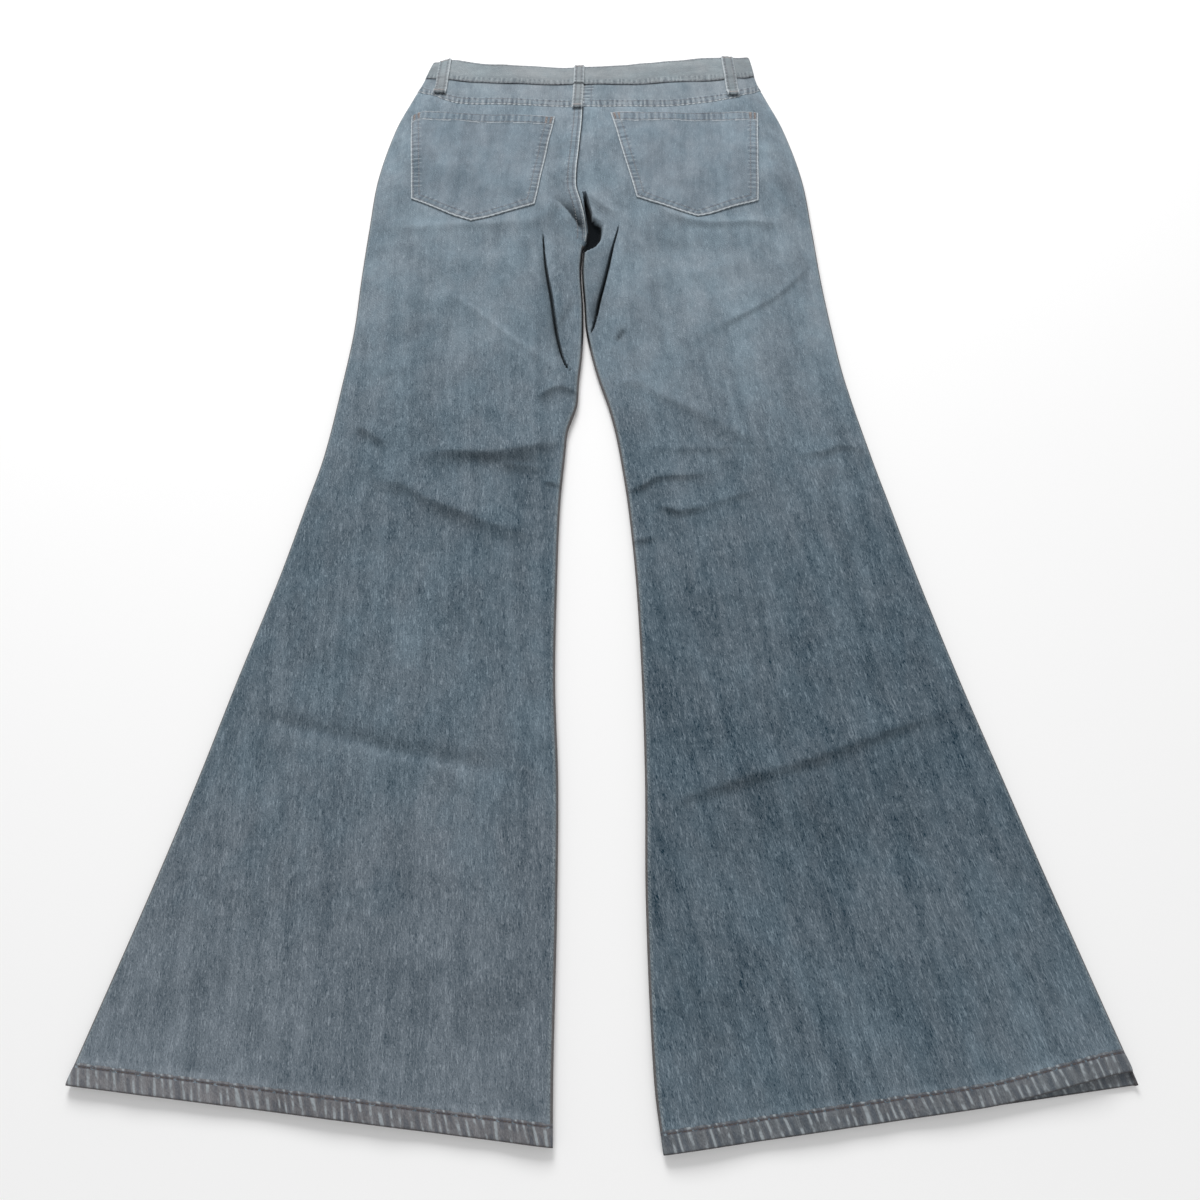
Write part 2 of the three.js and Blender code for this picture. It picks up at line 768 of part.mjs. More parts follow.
// Yoke: between the back panel and the waistband
function yokeGrid(leg) {
  const lower = acrossBack(leg, (x) => waistLine.yokeSeam(x) + SEAM_GAP / 2);
  const upper = acrossBack(leg, (x) => waistLine.backBottom(x) - 1.5 * SEAM_GAP);
  const place = (x, y) => backPoint(leg, x, y);
  return rowsBetween(lower, upper, sharesOf(3), leg.outer, leg.inner, backSpacing(leg), place);
}

// A pocket mouth's edge on the front: an arc from the waistband to the side seam
const mouthFoot = (leg) => waistLine.frontBottom(leg.outer(MOUTH_TOP_Y)) - MOUTH_DEPTH;
function mouthEdge(leg) {
  const foot = mouthFoot(leg);
  return (y) => {
    const up = clamp((y - foot) / MOUTH_DEPTH, 0, 1);
    return leg.outer(y) + leg.inward * MOUTH_WIDTH * Math.sqrt(1 - (1 - up) ** 2);
  };
}

// The front's inner edge: the inseam, the centre seam and, on the left, the fly's lap
function frontInner(leg) {
  const lap = leg === left ? FLY_LAP : 0;
  return (y) => leg.inner(y) + lap * smoothstep(y, FLY_END_Y - FLY_FOOT_TO, FLY_END_Y + FLY_FOOT_END);
}

// Front panel: from above the hem to the waistband, with the pocket mouth cut out of its corner
const MOUTH_ROWS = [0.03, 0.12, 0.3, 0.6, 1];
function frontPanelGrid(leg) {
  const outer = mouthEdge(leg);
  const inner = frontInner(leg);
  const rule = (x) => waistLine.frontBottom(x) - SEAM_GAP;
  const lower = hemLine(leg, HEM_HEIGHT + SEAM_GAP);
  const upper = lineAcross(rule, outer, inner);
  const foot = (mouthFoot(leg) - lower(0)) / (upper(0) - lower(0));
  const below = rowShares(frontStretches, lower(1), lerp(lower(1), upper(1), foot));
  const shares = [
    ...below.map((share) => share * foot),
    ...MOUTH_ROWS.map((share) => lerp(foot, 1, share)),
  ];
  const place = (x, y) => {
    const curled = 1 - smoothstep(y, mouthFoot(leg) - MOUTH_CURL_FADE, mouthFoot(leg));
    return frontPoint(leg, x, y, curled);
  };
  return rowsBetween(lower, upper, shares, outer, inner, frontSpacing(leg, FRONT_COLUMNS), place);
}

// Pocket facing: the cloth that shows in a pocket mouth, inside the front panel
function facingGrid(leg) {
  const reach = leg.inward * (MOUTH_WIDTH + FACING_MARGIN);
  const inner = (y) => leg.outer(y) + reach;
  const lower = () => mouthFoot(leg) - FACING_MARGIN;
  const upper = lineAcross((x) => waistLine.frontBottom(x) - 2 * SEAM_GAP, leg.outer, inner);
  const spacing = (from, to) => {
    const width = Math.abs(to - from);
    const curl = TURN_PLACES.map((share) => share * FRONT_CURL);
    const rest = sharesOf(FACING_COLUMNS + 1).slice(1).map((share) => lerp(FRONT_CURL, width, share));
    return [...curl, ...rest].map((place) => from + leg.inward * place);
  };
  const place = (x, y) => frontPoint(leg, x, y);
  return rowsBetween(lower, upper, sharesOf(FACING_ROWS), leg.outer, inner, spacing, place);
}

// Hem: a folded band right round the foot of the leg, its front run on the surface
function hemGrid(leg) {
  const levels = [0, HEM_HEIGHT / 2, HEM_HEIGHT];
  return levels.map((above) => {
    const frontLine = hemLine(leg, above);
    const backLine = backHemLine(leg, above);
    const onFront = (x, y) => frontPoint(leg, x, y);
    const onBack = (x, y) => backPoint(leg, x, y);
    const across = frontSpacing(leg, FRONT_COLUMNS);
    const front = rowsBetween(frontLine, frontLine, [0], leg.outer, leg.inner, across, onFront)[0];
    const back = rowsBetween(backLine, backLine, [0], leg.outer, leg.inner, backSpacing(leg), onBack)[0];
    return [...front, ...back.toReversed()];
  });
}

// Waistband: one strip round the waist, from the buttonhole end on the front's left to the underlap
function bandGrid() {
  const levels = sharesOf(3);
  const centre = centreX(BUTTON_Y);
  const lapEnd = centre + FLY_LAP;
  const underEnd = centre - UNDERLAP;
  return levels.map((level) => {
    const frontRule = (x) => lerp(waistLine.frontBottom(x), waistLine.frontTop(x), level);
    const backRule = (x) => lerp(waistLine.backBottom(x), waistLine.backTop(x), level);
    const frontRun = (leg, end, place) => {
      const line = lineAcross(frontRule, leg.outer, () => end);
      const spacing = (from, to) => {
        const width = Math.abs(to - from);
        const curl = TURN_PLACES.map((share) => share * FRONT_CURL);
        const rest = sharesOf(BAND_COLUMNS).slice(1).map((share) => lerp(FRONT_CURL, width, share));
        return [...curl, ...rest].map((along) => from + leg.inward * along);
      };
      return rowsBetween(line, line, [0], leg.outer, () => end, spacing, place)[0];
    };
    const backRun = (leg) => {
      const line = acrossBack(leg, backRule);
      const onBack = (x, y) => backPoint(leg, x, y);
      return rowsBetween(line, line, [0], leg.outer, leg.inner, backSpacing(leg), onBack)[0];
    };
    const lap = frontRun(left, lapEnd, (x, y) => frontPoint(left, x, y));
    const underlap = frontRun(right, underEnd, (x, y) => {
      const spot = frontPoint(right, x, y);
      const over = 1 - smoothstep(x, lapEnd + UNDERLAP_RISE_FROM, lapEnd + UNDERLAP_RISE_TO);
      spot.point.z += over * (BAND_THICK - DENIM);
      return spot;
    });
    const backLeft = backRun(left);
    const backRight = backRun(right).toReversed();
    return [...lap.toReversed(), ...backLeft, ...backRight, ...underlap];
  });
}

// Back pocket: the panel's own points moved out, cut to the pocket's outline
function pocket(leg, panel) {
  const { topOuter, topInner, bottomInner, tip, bottomOuter } = pockets[leg.name];
  const outline = [topOuter, bottomOuter, tip, bottomInner, topInner];
  return cutTo(wall(panel, SEAM_GAP + DENIM, SEAM_GAP), outline);
}

// The outline of a loop between the middles of its two ends
function loopOutline(top, bottom) {
  const way = new THREE.Vector2(top[0] - bottom[0], top[1] - bottom[1]).normalize();
  const aside = new THREE.Vector2(-way.y, way.x).multiplyScalar(LOOP_WIDTH / 2);
  return [
    [top[0] + aside.x, top[1] + aside.y],
    [bottom[0] + aside.x, bottom[1] + aside.y],
    [bottom[0] - aside.x, bottom[1] - aside.y],
    [top[0] - aside.x, top[1] - aside.y],
  ];
}

// The cover that the back's loops are cut from: it runs over the panel's top, the yoke and the waistband
function loopCover() {
  const lines = [
    [(x) => waistLine.yokeSeam(x) - LOOP_REACH, (x) => waistLine.yokeSeam(x) - SEAM_GAP / 2, 2],
    [(x) => waistLine.yokeSeam(x) + SEAM_GAP / 2, (x) => waistLine.backBottom(x) - 1.5 * SEAM_GAP, 3],
    [(x) => waistLine.backBottom(x), (x) => waistLine.backTop(x) + 1, 3],
  ];
  const half = (leg) =>
    lines.flatMap(([lower, upper, count]) =>
      rowsBetween(
        acrossBack(leg, lower),
        acrossBack(leg, upper),
        sharesOf(count),
        leg.outer,
        leg.inner,
        backSpacing(leg),
        (x, y) => backPoint(leg, x, y),
      ),
    );
  const leftHalf = half(left);
  const rightHalf = half(right);
  return leftHalf.map((row, i) => [...row, ...rightHalf[i].toReversed()]);
}

const backGrids = { left: backPanelGrid(left), right: backPanelGrid(right) };

for (const leg of [left, right]) {
  add(`front_${leg.name}`, wall(frontPanelGrid(leg), 0, -DENIM), denimLower);
  const facing = wall(facingGrid(leg), -DENIM - SEAM_GAP, -2 * DENIM - SEAM_GAP);
  add(`pocket_facing_${leg.name}`, facing, denimUpper);
  add(`back_${leg.name}`, wall(backGrids[leg.name], 0, -DENIM), denimLower);
  add(`yoke_${leg.name}`, wall(yokeGrid(leg), 0, -DENIM), denimUpper);
  add(`back_pocket_${leg.name}`, pocket(leg, backGrids[leg.name]), denimUpper);
  const proud = ({ sine, facing }) => (facing.z > 0 ? HEM_PROUD * sine : 0);
  const lining = (spot) => proud(spot) - HEM_THICK;
  add(`hem_${leg.name}`, wall(hemGrid(leg), proud, lining, true), denimLower);
}

const bandProud = ({ sine, facing }) => (facing.z > 0 ? BAND_PROUD * sine : 0);
add('waistband', wall(bandGrid(), bandProud, (spot) => bandProud(spot) - BAND_THICK), denimTrim);

const cover = wall(loopCover(), BAND_PROUD + SEAM_GAP + LOOP_THICK, BAND_PROUD + SEAM_GAP);
for (const { name, top, bottom } of backLoops) {
  add(name, cutTo(cover, loopOutline(top, bottom)), denimTrim);
}

// A front loop: a flat strip between the surface and the front waistband
for (const { name, x } of frontLoops) {
  const top = waistLine.frontTop(x);
  const strip = new THREE.BoxGeometry(LOOP_WIDTH, FRONT_LOOP_LENGTH, FRONT_LOOP_THICK);
  add(name, strip.translate(x, top - FRONT_LOOP_LENGTH / 2, FRONT_LOOP_THICK / 2), denimTrim);
}

// Waist button: a domed cap with a flat face down on the surface, and its shank up to the waistband
const buttonProfile = [
  { radius: 0, level: 0 },
  { radius: 7, level: 0 },
  { radius: 8.1, level: 0.6 },
  { radius: 8.5, level: 1.5 },
  { radius: 7.7, level: 2.2 },
  { radius: 3, level: 2.4 },
  { radius: 3, level: 3 },
  { radius: 0, level: 3 },
];
const cap = buttonProfile.map(({ radius, level }) => new THREE.Vector2(radius, level));
const button = new THREE.LatheGeometry(cap, 24).rotateX(Math.PI / 2);
add('waist_button', button.translate(centreX(BUTTON_Y) - FLY_LAP, BUTTON_Y, 0), steel);

export default garment;
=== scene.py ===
# %% [markdown]
# # Flared jeans, laid flat and face down
# The jeans lie on a pale floor with the back up, the waist far away and the two hems near the camera.
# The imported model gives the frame: where each piece is, and how big. This script gives each piece of
# cloth its real surface: rolled edges, creases, seams, stitches and the look of washed denim.

# %% Load the frame
import math
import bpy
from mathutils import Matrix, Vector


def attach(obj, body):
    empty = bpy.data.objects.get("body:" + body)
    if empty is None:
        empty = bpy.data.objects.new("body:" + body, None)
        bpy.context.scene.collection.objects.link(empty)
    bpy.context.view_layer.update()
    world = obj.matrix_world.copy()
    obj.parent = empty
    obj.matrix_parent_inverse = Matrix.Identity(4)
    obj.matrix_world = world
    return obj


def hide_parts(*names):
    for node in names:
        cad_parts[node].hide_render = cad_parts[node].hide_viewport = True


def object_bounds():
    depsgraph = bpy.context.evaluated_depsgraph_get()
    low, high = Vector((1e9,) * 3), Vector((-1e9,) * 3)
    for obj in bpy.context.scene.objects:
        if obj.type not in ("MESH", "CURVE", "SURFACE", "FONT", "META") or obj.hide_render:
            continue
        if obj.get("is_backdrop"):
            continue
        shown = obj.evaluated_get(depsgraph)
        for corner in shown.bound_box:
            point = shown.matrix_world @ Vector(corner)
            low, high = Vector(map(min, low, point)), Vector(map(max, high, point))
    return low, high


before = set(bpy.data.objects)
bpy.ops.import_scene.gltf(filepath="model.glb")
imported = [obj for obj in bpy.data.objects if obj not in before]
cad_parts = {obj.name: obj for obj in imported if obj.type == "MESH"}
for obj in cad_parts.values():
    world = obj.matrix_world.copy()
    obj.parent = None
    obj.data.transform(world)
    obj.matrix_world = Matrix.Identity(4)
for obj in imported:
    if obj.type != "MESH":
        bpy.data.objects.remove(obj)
from types import SimpleNamespace

import bpy
import numpy as np

cad_low, cad_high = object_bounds()
print("nodes in the frame:", len(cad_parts))

# %% [markdown]
# ## Measures
# Clothes are measured in millimetres, so every table here is in millimetres, in the frame of the model:
# X runs from the wearer's left leg to the right, Y from the hems to the waist, Z up.
# `MM` turns them into Blender's metres at the very end, where a mesh gets its points.

# %% Thicknesses and edges
MM = 0.001
DENIM = 1.2
HEM_THICK = 2.2
BAND_THICK = 2.6
HEM_PROUD = 0.4
BAND_PROUD = 0.8
SEAM_GAP = 0.3
SEAM_LEVEL = 3.5
FRONT_CURL = 3.2
BACK_ROLL = 4
ROLL_SPREAD = 1.15
SWELL_WIDTH = 34
CROTCH_Y = 245
SEAM_RISE = 65
HEM_HEIGHT = 12
HEM_SLIP = 8
HEM_SLIP_SHARE = 0.34
HEM_CURL_UP = 4
PIT_FLOOR = 3.6
FLY_LAP = 7
FLY_END_Y = 330
UNDERLAP = 32
MOUTH_WIDTH = 92
MOUTH_DEPTH = 74
MOUTH_TOP_Y = 510
BUTTON_Y = 458


# %% [markdown]
# ## Curves through a few measured places
# An outline needs only the points that its shape needs. A smooth curve runs through them: between two
# points it is a cubic that leaves and arrives with the slope of its neighbours, and past the ends it
# runs straight on. NumPy works it out for a whole mesh at once.

# %% Curve helpers
def mix(low, high, share):
    return low + (high - low) * share


def smooth(value, low, high):
    share = np.clip((value - low) / (high - low), 0, 1)
    return share * share * (3 - 2 * share)


def curve_through(places, values):
    places = np.array(places, float)
    values = np.array(values, float)
    last = len(places) - 1
    before = np.maximum(np.arange(last + 1) - 1, 0)
    after = np.minimum(np.arange(last + 1) + 1, last)
    slopes = (values[after] - values[before]) / (places[after] - places[before])

    def at(place):
        place = np.asarray(place, float)
        i = np.clip(np.searchsorted(places, place, side="right") - 1, 0, last - 1)
        span = places[i + 1] - places[i]
        t = np.clip((place - places[i]) / span, 0, 1)
        curve = mix(values[i], values[i + 1], t * t * (3 - 2 * t))
        curve = curve + t * (1 - t) ** 2 * span * slopes[i] + t * t * (t - 1) * span * slopes[i + 1]
        beyond = np.where(place < places[0], place - places[0], np.maximum(place - places[-1], 0))
        return curve + beyond * np.where(place < places[0], slopes[0], slopes[-1])

    return at


# %% The jeans' outline
side_seams = {
    "y": [-504, -376, -304, -224, -136, -63, -11, 73, 134, 198, 267, 341, 420, 470, 502, 530, 545],
    "left": [-348.5, -317.7, -302, -286.2, -267.9, -255.2, -246.6, -240.3, -237.3, -238.1, -238,
             -236.7, -225.5, -211.4, -201.7, -195, -190],
    "right": [348.5, 316.8, 299.7, 280.9, 262.4, 248.7, 239.2, 226.1, 220.9, 217.3, 215.5,
              212.5, 199.4, 184.8, 176, 173, 171],
}
inseams = {
    "y": [-545, -501, -392, -304, -224, -136, -63, -11, 16, 44, 73, 103, 134, 166, 210, 240],
    "left": [-31.2, -32, -31.7, -32.8, -36.8, -37.1, -36, -32.6, -30.3, -22.5, -21, -18.5, -17.5,
             -18, -20.4, -18.7],
    "right": [38.7, 33.6, 30.8, 32.1, 31.4, 28.3, 22.7, 16.3, 12, 5.8, -2.6, -9.6, -15, -16.9,
              -19.5, -17.9],
}
centre_x = curve_through(
    [245, 258, 282, 296, 321, 386, 425, 479, 545],
    [-16.5, -15.5, -17.8, -21, -26.4, -23.2, -21.1, -20.4, -20.4],
)
height_along = curve_through(
    [-504, -400, -224, -63, 73, 198, 267, 341, 420, 480, 545],
    [6.4, 6.6, 7.5, 9, 10.5, 12.5, 15, 17.5, 17.5, 16, 14],
)
WAIST_X = [-205, -172, -113, -20, 44, 110, 150, 180]
waist = {
    "back_top": curve_through(WAIST_X, [537, 527, 517, 512, 519, 528, 534, 547]),
    "back_bottom": curve_through(WAIST_X, [508, 490, 483.5, 481.5, 483, 487, 494, 513]),
    "yoke_seam": curve_through(WAIST_X, [486, 459, 451, 447.5, 448, 453, 465, 490]),
    "front_top": curve_through(WAIST_X, [537, 516, 489, 474, 482, 506, 526, 547]),
    "front_bottom": curve_through(WAIST_X, [508, 484, 457, 442, 450, 474, 492, 513]),
}
print(f"centre seam at the crotch: x = {float(centre_x(CROTCH_Y)):.1f} mm")

# %% [markdown]
# ## Creases
# Cloth that has been folded and laid down keeps soft ridges. From the waist side a crease rises slowly,
# and on the hem side it drops in a few millimetres, which is where its shadow lies. So each crease has
# a path, a rise, and two widths: `soft` on its left hand and `sharp` on its right hand, as one walks
# along the path. A negative rise is a trough. `dark` says how much painted shade lies in the fold or on
# the ridge's hem side, `fade` how far that painted shade reaches, and `rub_and_highlight` how much paler
# its top is painted, partly rubbed wear and partly a painted highlight. A `slit` is a cut with upright
# walls, painted almost black inside.

# %% The main creases
creases = {
    "left": [
        dict(path=[(-59.5, 258), (-55.6, 212), (-49, 170), (-43.6, 130), (-37.8, 101), (-32, 86),
                   (-26, 82)],
             rise=-6.5, soft=1.2, sharp=1.2, slit=True),
        dict(path=[(-68, 262), (-64, 205), (-54, 150), (-44, 98)], rise=1.1, soft=9, sharp=7, rub_and_highlight=0.1),
        dict(path=[(-46, 299), (-39, 292), (-31, 283), (-24, 272), (-17, 256)],
             rise=-3.6, soft=10, sharp=3, dark=0.85),
        dict(path=[(-56, 294), (-45, 293), (-36, 285), (-30, 274), (-25, 262)],
             rise=2.2, soft=3, sharp=10, dark=0, rub_and_highlight=0.2),
        dict(path=[(-56, 262), (-52, 290), (-44, 316)], rise=2.2, soft=9, sharp=6),
        dict(path=[(-24, 180), (-30, 162), (-37, 142), (-44, 127)],
             rise=-0.9, soft=5, sharp=5, dark=0.24),
        dict(path=[(-156, 179), (-116, 148), (-81, 116), (-56, 95), (-32, 70)],
             rise=1.4, soft=5, sharp=4.5, dark=0.08, rub_and_highlight=0.2),
        dict(path=[(-60, 46), (-49, 57), (-39, 62), (-28, 60), (-12, 52)],
             rise=2, soft=5, sharp=5, dark=0.5, fade=6.5),
        dict(path=[(-168, -11), (-135, -11), (-105, -12), (-76, -8), (-48, -1), (-26, 4)],
             rise=3.6, soft=15, sharp=7, dark=0.34, fade=12),
        dict(path=[(-95, -22), (-72, -26), (-44, -27)], rise=2.4, soft=7, sharp=6, dark=0.26),
        dict(path=[(-126, -15), (-98, -19), (-70, -20), (-40, -22)],
             rise=-0.5, soft=8, sharp=8, dark=0.34),
        dict(path=[(-52, -41), (-42, -43), (-34, -44.5), (-24, -45)],
             rise=2.2, soft=5, sharp=1.8, dark=0.75),
        dict(path=[(-205, -38), (-171, -46), (-149, -60), (-122, -72), (-99, -82), (-73, -90), (-51, -94)],
             rise=3.6, soft=15, sharp=8, dark=0.34, fade=11),
        dict(path=[(-220, 18), (-206, 8), (-188, -3)], rise=3, soft=10, sharp=5, dark=0.3),
        dict(path=[(-252, -56), (-238, -60), (-226, -70)], rise=1.1, soft=10, sharp=6),
        dict(path=[(-216, -26), (-200, -34)], rise=1, soft=10, sharp=5),
        dict(path=[(-293, -260), (-276, -254), (-256, -256), (-200, -267), (-160, -278), (-128, -284),
                   (-88, -292), (-64, -300), (-45, -302)],
             rise=-2.6, soft=9, sharp=6, dark=0.25),
        dict(path=[(-275, -265), (-199, -277), (-159, -287), (-128, -293), (-87, -301), (-55, -309)],
             rise=1.6, soft=6, sharp=14, dark=0, rub_and_highlight=0.14),
        dict(path=[(-262, -180), (-215, -196), (-170, -206)], rise=0.8, soft=22, sharp=12),
        dict(path=[(-150, -150), (-110, -158), (-60, -152)], rise=0.7, soft=20, sharp=12),
        dict(path=[(-236, 262), (-190, 260), (-132, 265), (-92, 267), (-70, 271), (-50, 289)],
             rise=1.7, soft=9, sharp=7, dark=0.1, rub_and_highlight=0.16),
        dict(path=[(-210, 180), (-160, 168), (-112, 140)], rise=0.7, soft=18, sharp=12),
        dict(path=[(-32, -416), (-59, -435), (-83, -451), (-108, -462)],
             rise=1.4, soft=8, sharp=8, dark=0.12),
        dict(path=[(-32, -442), (-58, -460), (-84, -472)], rise=1.3, soft=8, sharp=8, dark=0.12),
    ],
    "right": [
        dict(path=[(18.8, 267), (10.4, 231), (4.1, 197), (-2, 169), (-6.5, 142), (-11, 126)],
             rise=-6.5, soft=1.2, sharp=1.2, slit=True),
        dict(path=[(-14, 312), (-6, 298), (2, 290), (10, 283), (20, 276)],
             rise=3.6, soft=9, sharp=5, dark=0.15, rub_and_highlight=0.15),
        dict(path=[(12, 297), (20, 290), (30, 286)], rise=-1.8, soft=5, sharp=8),
        dict(path=[(30, 285), (25, 262), (18, 228), (10, 190)],
             rise=1.5, soft=7, sharp=9, rub_and_highlight=0.16, dark=0),
        dict(path=[(41, 263), (57, 244), (78, 238), (104, 244)], rise=-1, soft=11, sharp=11, dark=0.16),
        dict(path=[(98, 124), (122, 138), (144, 152), (172, 173), (193, 196), (207, 218)],
             rise=1.7, soft=7, sharp=2.8, dark=0.26, fade=3.4),
        dict(path=[(22, 131), (18, 123), (13, 114)], rise=-1.2, soft=3.2, sharp=3.2, dark=0.6),
        dict(path=[(14, 67), (34, 65), (50, 55), (78, 38), (104, 23), (130, 6), (157, 0)],
             rise=1.7, soft=8, sharp=6, dark=0.12, rub_and_highlight=0.12),
        dict(path=[(87, 14), (113, 4), (147, -10)], rise=-0.5, soft=9, sharp=9, dark=0.16),
        dict(path=[(12, -54), (37, -45), (45, -39), (58, -37), (77, -36), (96, -31)],
             rise=2.4, soft=11, sharp=3, dark=0.5, fade=3.6),
        dict(path=[(47, -64), (55, -68), (66, -72), (77, -70), (90, -66)],
             rise=2.6, soft=9, sharp=4, dark=0.55, fade=5.5),
        dict(path=[(76, -72), (93, -65), (116, -56), (140, -47)], rise=1.5, soft=9, sharp=4, dark=0.18),
        dict(path=[(14, -101), (29, -99), (48, -96)], rise=1.6, soft=5, sharp=3, dark=0.35),
        dict(path=[(28, -8), (74, -7), (114, -6), (158, -5)], rise=1.4, soft=9, sharp=4.5, dark=0.14),
        dict(path=[(168, -14), (197, -10), (213, -4), (243, -8)], rise=1.8, soft=8, sharp=4, dark=0.24),
        dict(path=[(16, 70), (28, 66), (44, 70)], rise=1.1, soft=9, sharp=7),
        dict(path=[(29, -328), (53, -320), (76, -312), (107, -302), (139, -293), (177, -281),
                   (215, -267), (257, -253), (293, -243)],
             rise=3.4, soft=16, sharp=4.6, dark=0.3, fade=6),
        dict(path=[(50, -352), (150, -330), (262, -296)], rise=-0.1, soft=42, sharp=42, dark=0.12),
        dict(path=[(60, -158), (116, -150), (184, -162)], rise=0.7, soft=20, sharp=12),
        dict(path=[(50, 302), (62, 286), (76, 275), (93, 269), (113, 265), (150, 267), (196, 262)],
             rise=2.4, soft=9, sharp=5, dark=0.2, fade=6, rub_and_highlight=0.2),
        dict(path=[(60, 196), (110, 204), (168, 222)], rise=0.7, soft=18, sharp=12),
        dict(path=[(34, -423), (68, -450), (102, -475)], rise=-1.3, soft=9, sharp=9, dark=0.14),
        dict(path=[(33, -445), (67, -472), (104, -489)], rise=-1.2, soft=8, sharp=8, dark=0.12),
    ],
}
PIT_PATH = [(-17.3, 308), (-15, 292), (-12, 276), (-6.8, 263), (-8, 252), (-10.5, 245.5),
            (-15.5, 239.5), (-18, 235.5)]
PIT_LEDGE = [(3.2, 264), (1.2, 254), (-2.4, 243.2), (-12.2, 237.6), (-16.4, 232.5), (-17.2, 215),
             (-16.2, 190), (-14.8, 160)]
pit_width = curve_through(
    [0, 0.21, 0.42, 0.6, 0.75, 0.84, 0.94, 1],
    [1.3, 2.3, 3.7, 7.4, 7.6, 6, 3, 1.5],
)
print("creases:", {name: len(rows) for name, rows in creases.items()})


# %% Legs and the distance to a path
def make_leg(name, inward):
    inseam = curve_through(inseams["y"], inseams[name])

    def inner(y):
        edge = centre_x(y) - inward * SEAM_GAP / 2
        return mix(inseam(y), edge, smooth(y, CROTCH_Y - 7, CROTCH_Y + 7))

    return SimpleNamespace(
        name=name,
        inward=inward,
        outer=curve_through(side_seams["y"], side_seams[name]),
        inner=inner,
        creases=creases[name],
        hem_outer=-504,
        hem_inner={"left": -539, "right": -543}[name],
    )


left, right = make_leg("left", 1), make_leg("right", -1)
for leg in (left, right):
    print(f"{leg.name} leg: {abs(leg.inner(-500.0) - leg.outer(-500.0)):.0f} mm wide near the hem")


def smooth_path(points, step=3):
    """The same path as a smooth curve, with a point every few millimetres."""
    points = np.array(points, float)
    run = np.concatenate([[0], np.cumsum(np.hypot(*np.diff(points, axis=0).T))])
    places = np.linspace(0, run[-1], max(2, int(run[-1] / step) + 1))
    return np.stack([curve_through(run, points[:, k])(places) for k in (0, 1)], axis=-1)


def near_path(path, x, y):
    """For each place: how far the path is, how far along it (0 to 1), the run, and which side."""
    far = np.full(np.shape(x), np.inf)
    along = np.zeros(np.shape(x))
    side = np.zeros(np.shape(x))
    steps = np.hypot(*np.diff(path, axis=0).T)
    total, done = steps.sum(), 0.0
    for (ax, ay), (bx, by), length in zip(path[:-1], path[1:], steps):
        dx, dy = (bx - ax) / length, (by - ay) / length
        run = np.clip((x - ax) * dx + (y - ay) * dy, 0, length)
        here = np.hypot(x - ax - dx * run, y - ay - dy * run)
        closer = here < far
        far = np.where(closer, here, far)
        along = np.where(closer, (done + run) / total, along)
        side = np.where(closer, dx * (y - ay) - dy * (x - ax), side)
        done += length
    return far, along, along * total, side


for leg in (left, right):
    for crease in leg.creases:
        crease["path"] = smooth_path(crease["path"])
crease_points = sum(len(crease["path"]) for leg in (left, right) for crease in leg.creases)
print("points along the creases:", crease_points)


# %% [markdown]
# ## The two skins of the garment
# Laid flat, a pair of jeans is two layers. The front lies on the floor. The back lies on top of it,
# swells over what is inside, and rolls down at the side seams and inseams to meet the front's edge.
# Each skin is a height over the floor, and each place on it also has a direction in which it faces, so
# that a pocket or a belt loop can stand off the panel it is sewn to.

# %% The back skin
def turn_cosine(distance, radius):
    return np.clip(1 - distance / radius, 0, 1)


def turn_sine(distance, radius):
    return np.sqrt(1 - turn_cosine(distance, radius) ** 2)


def edge_distances(leg, x, y):
    out = np.maximum(0, (x - leg.outer(y)) * leg.inward)
    inside = np.maximum(0, (leg.inner(y) - x) * leg.inward)
    return out, inside


def leg_share(y):
    return 1 - smooth(y, CROTCH_Y - 5, CROTCH_Y + SEAM_RISE)


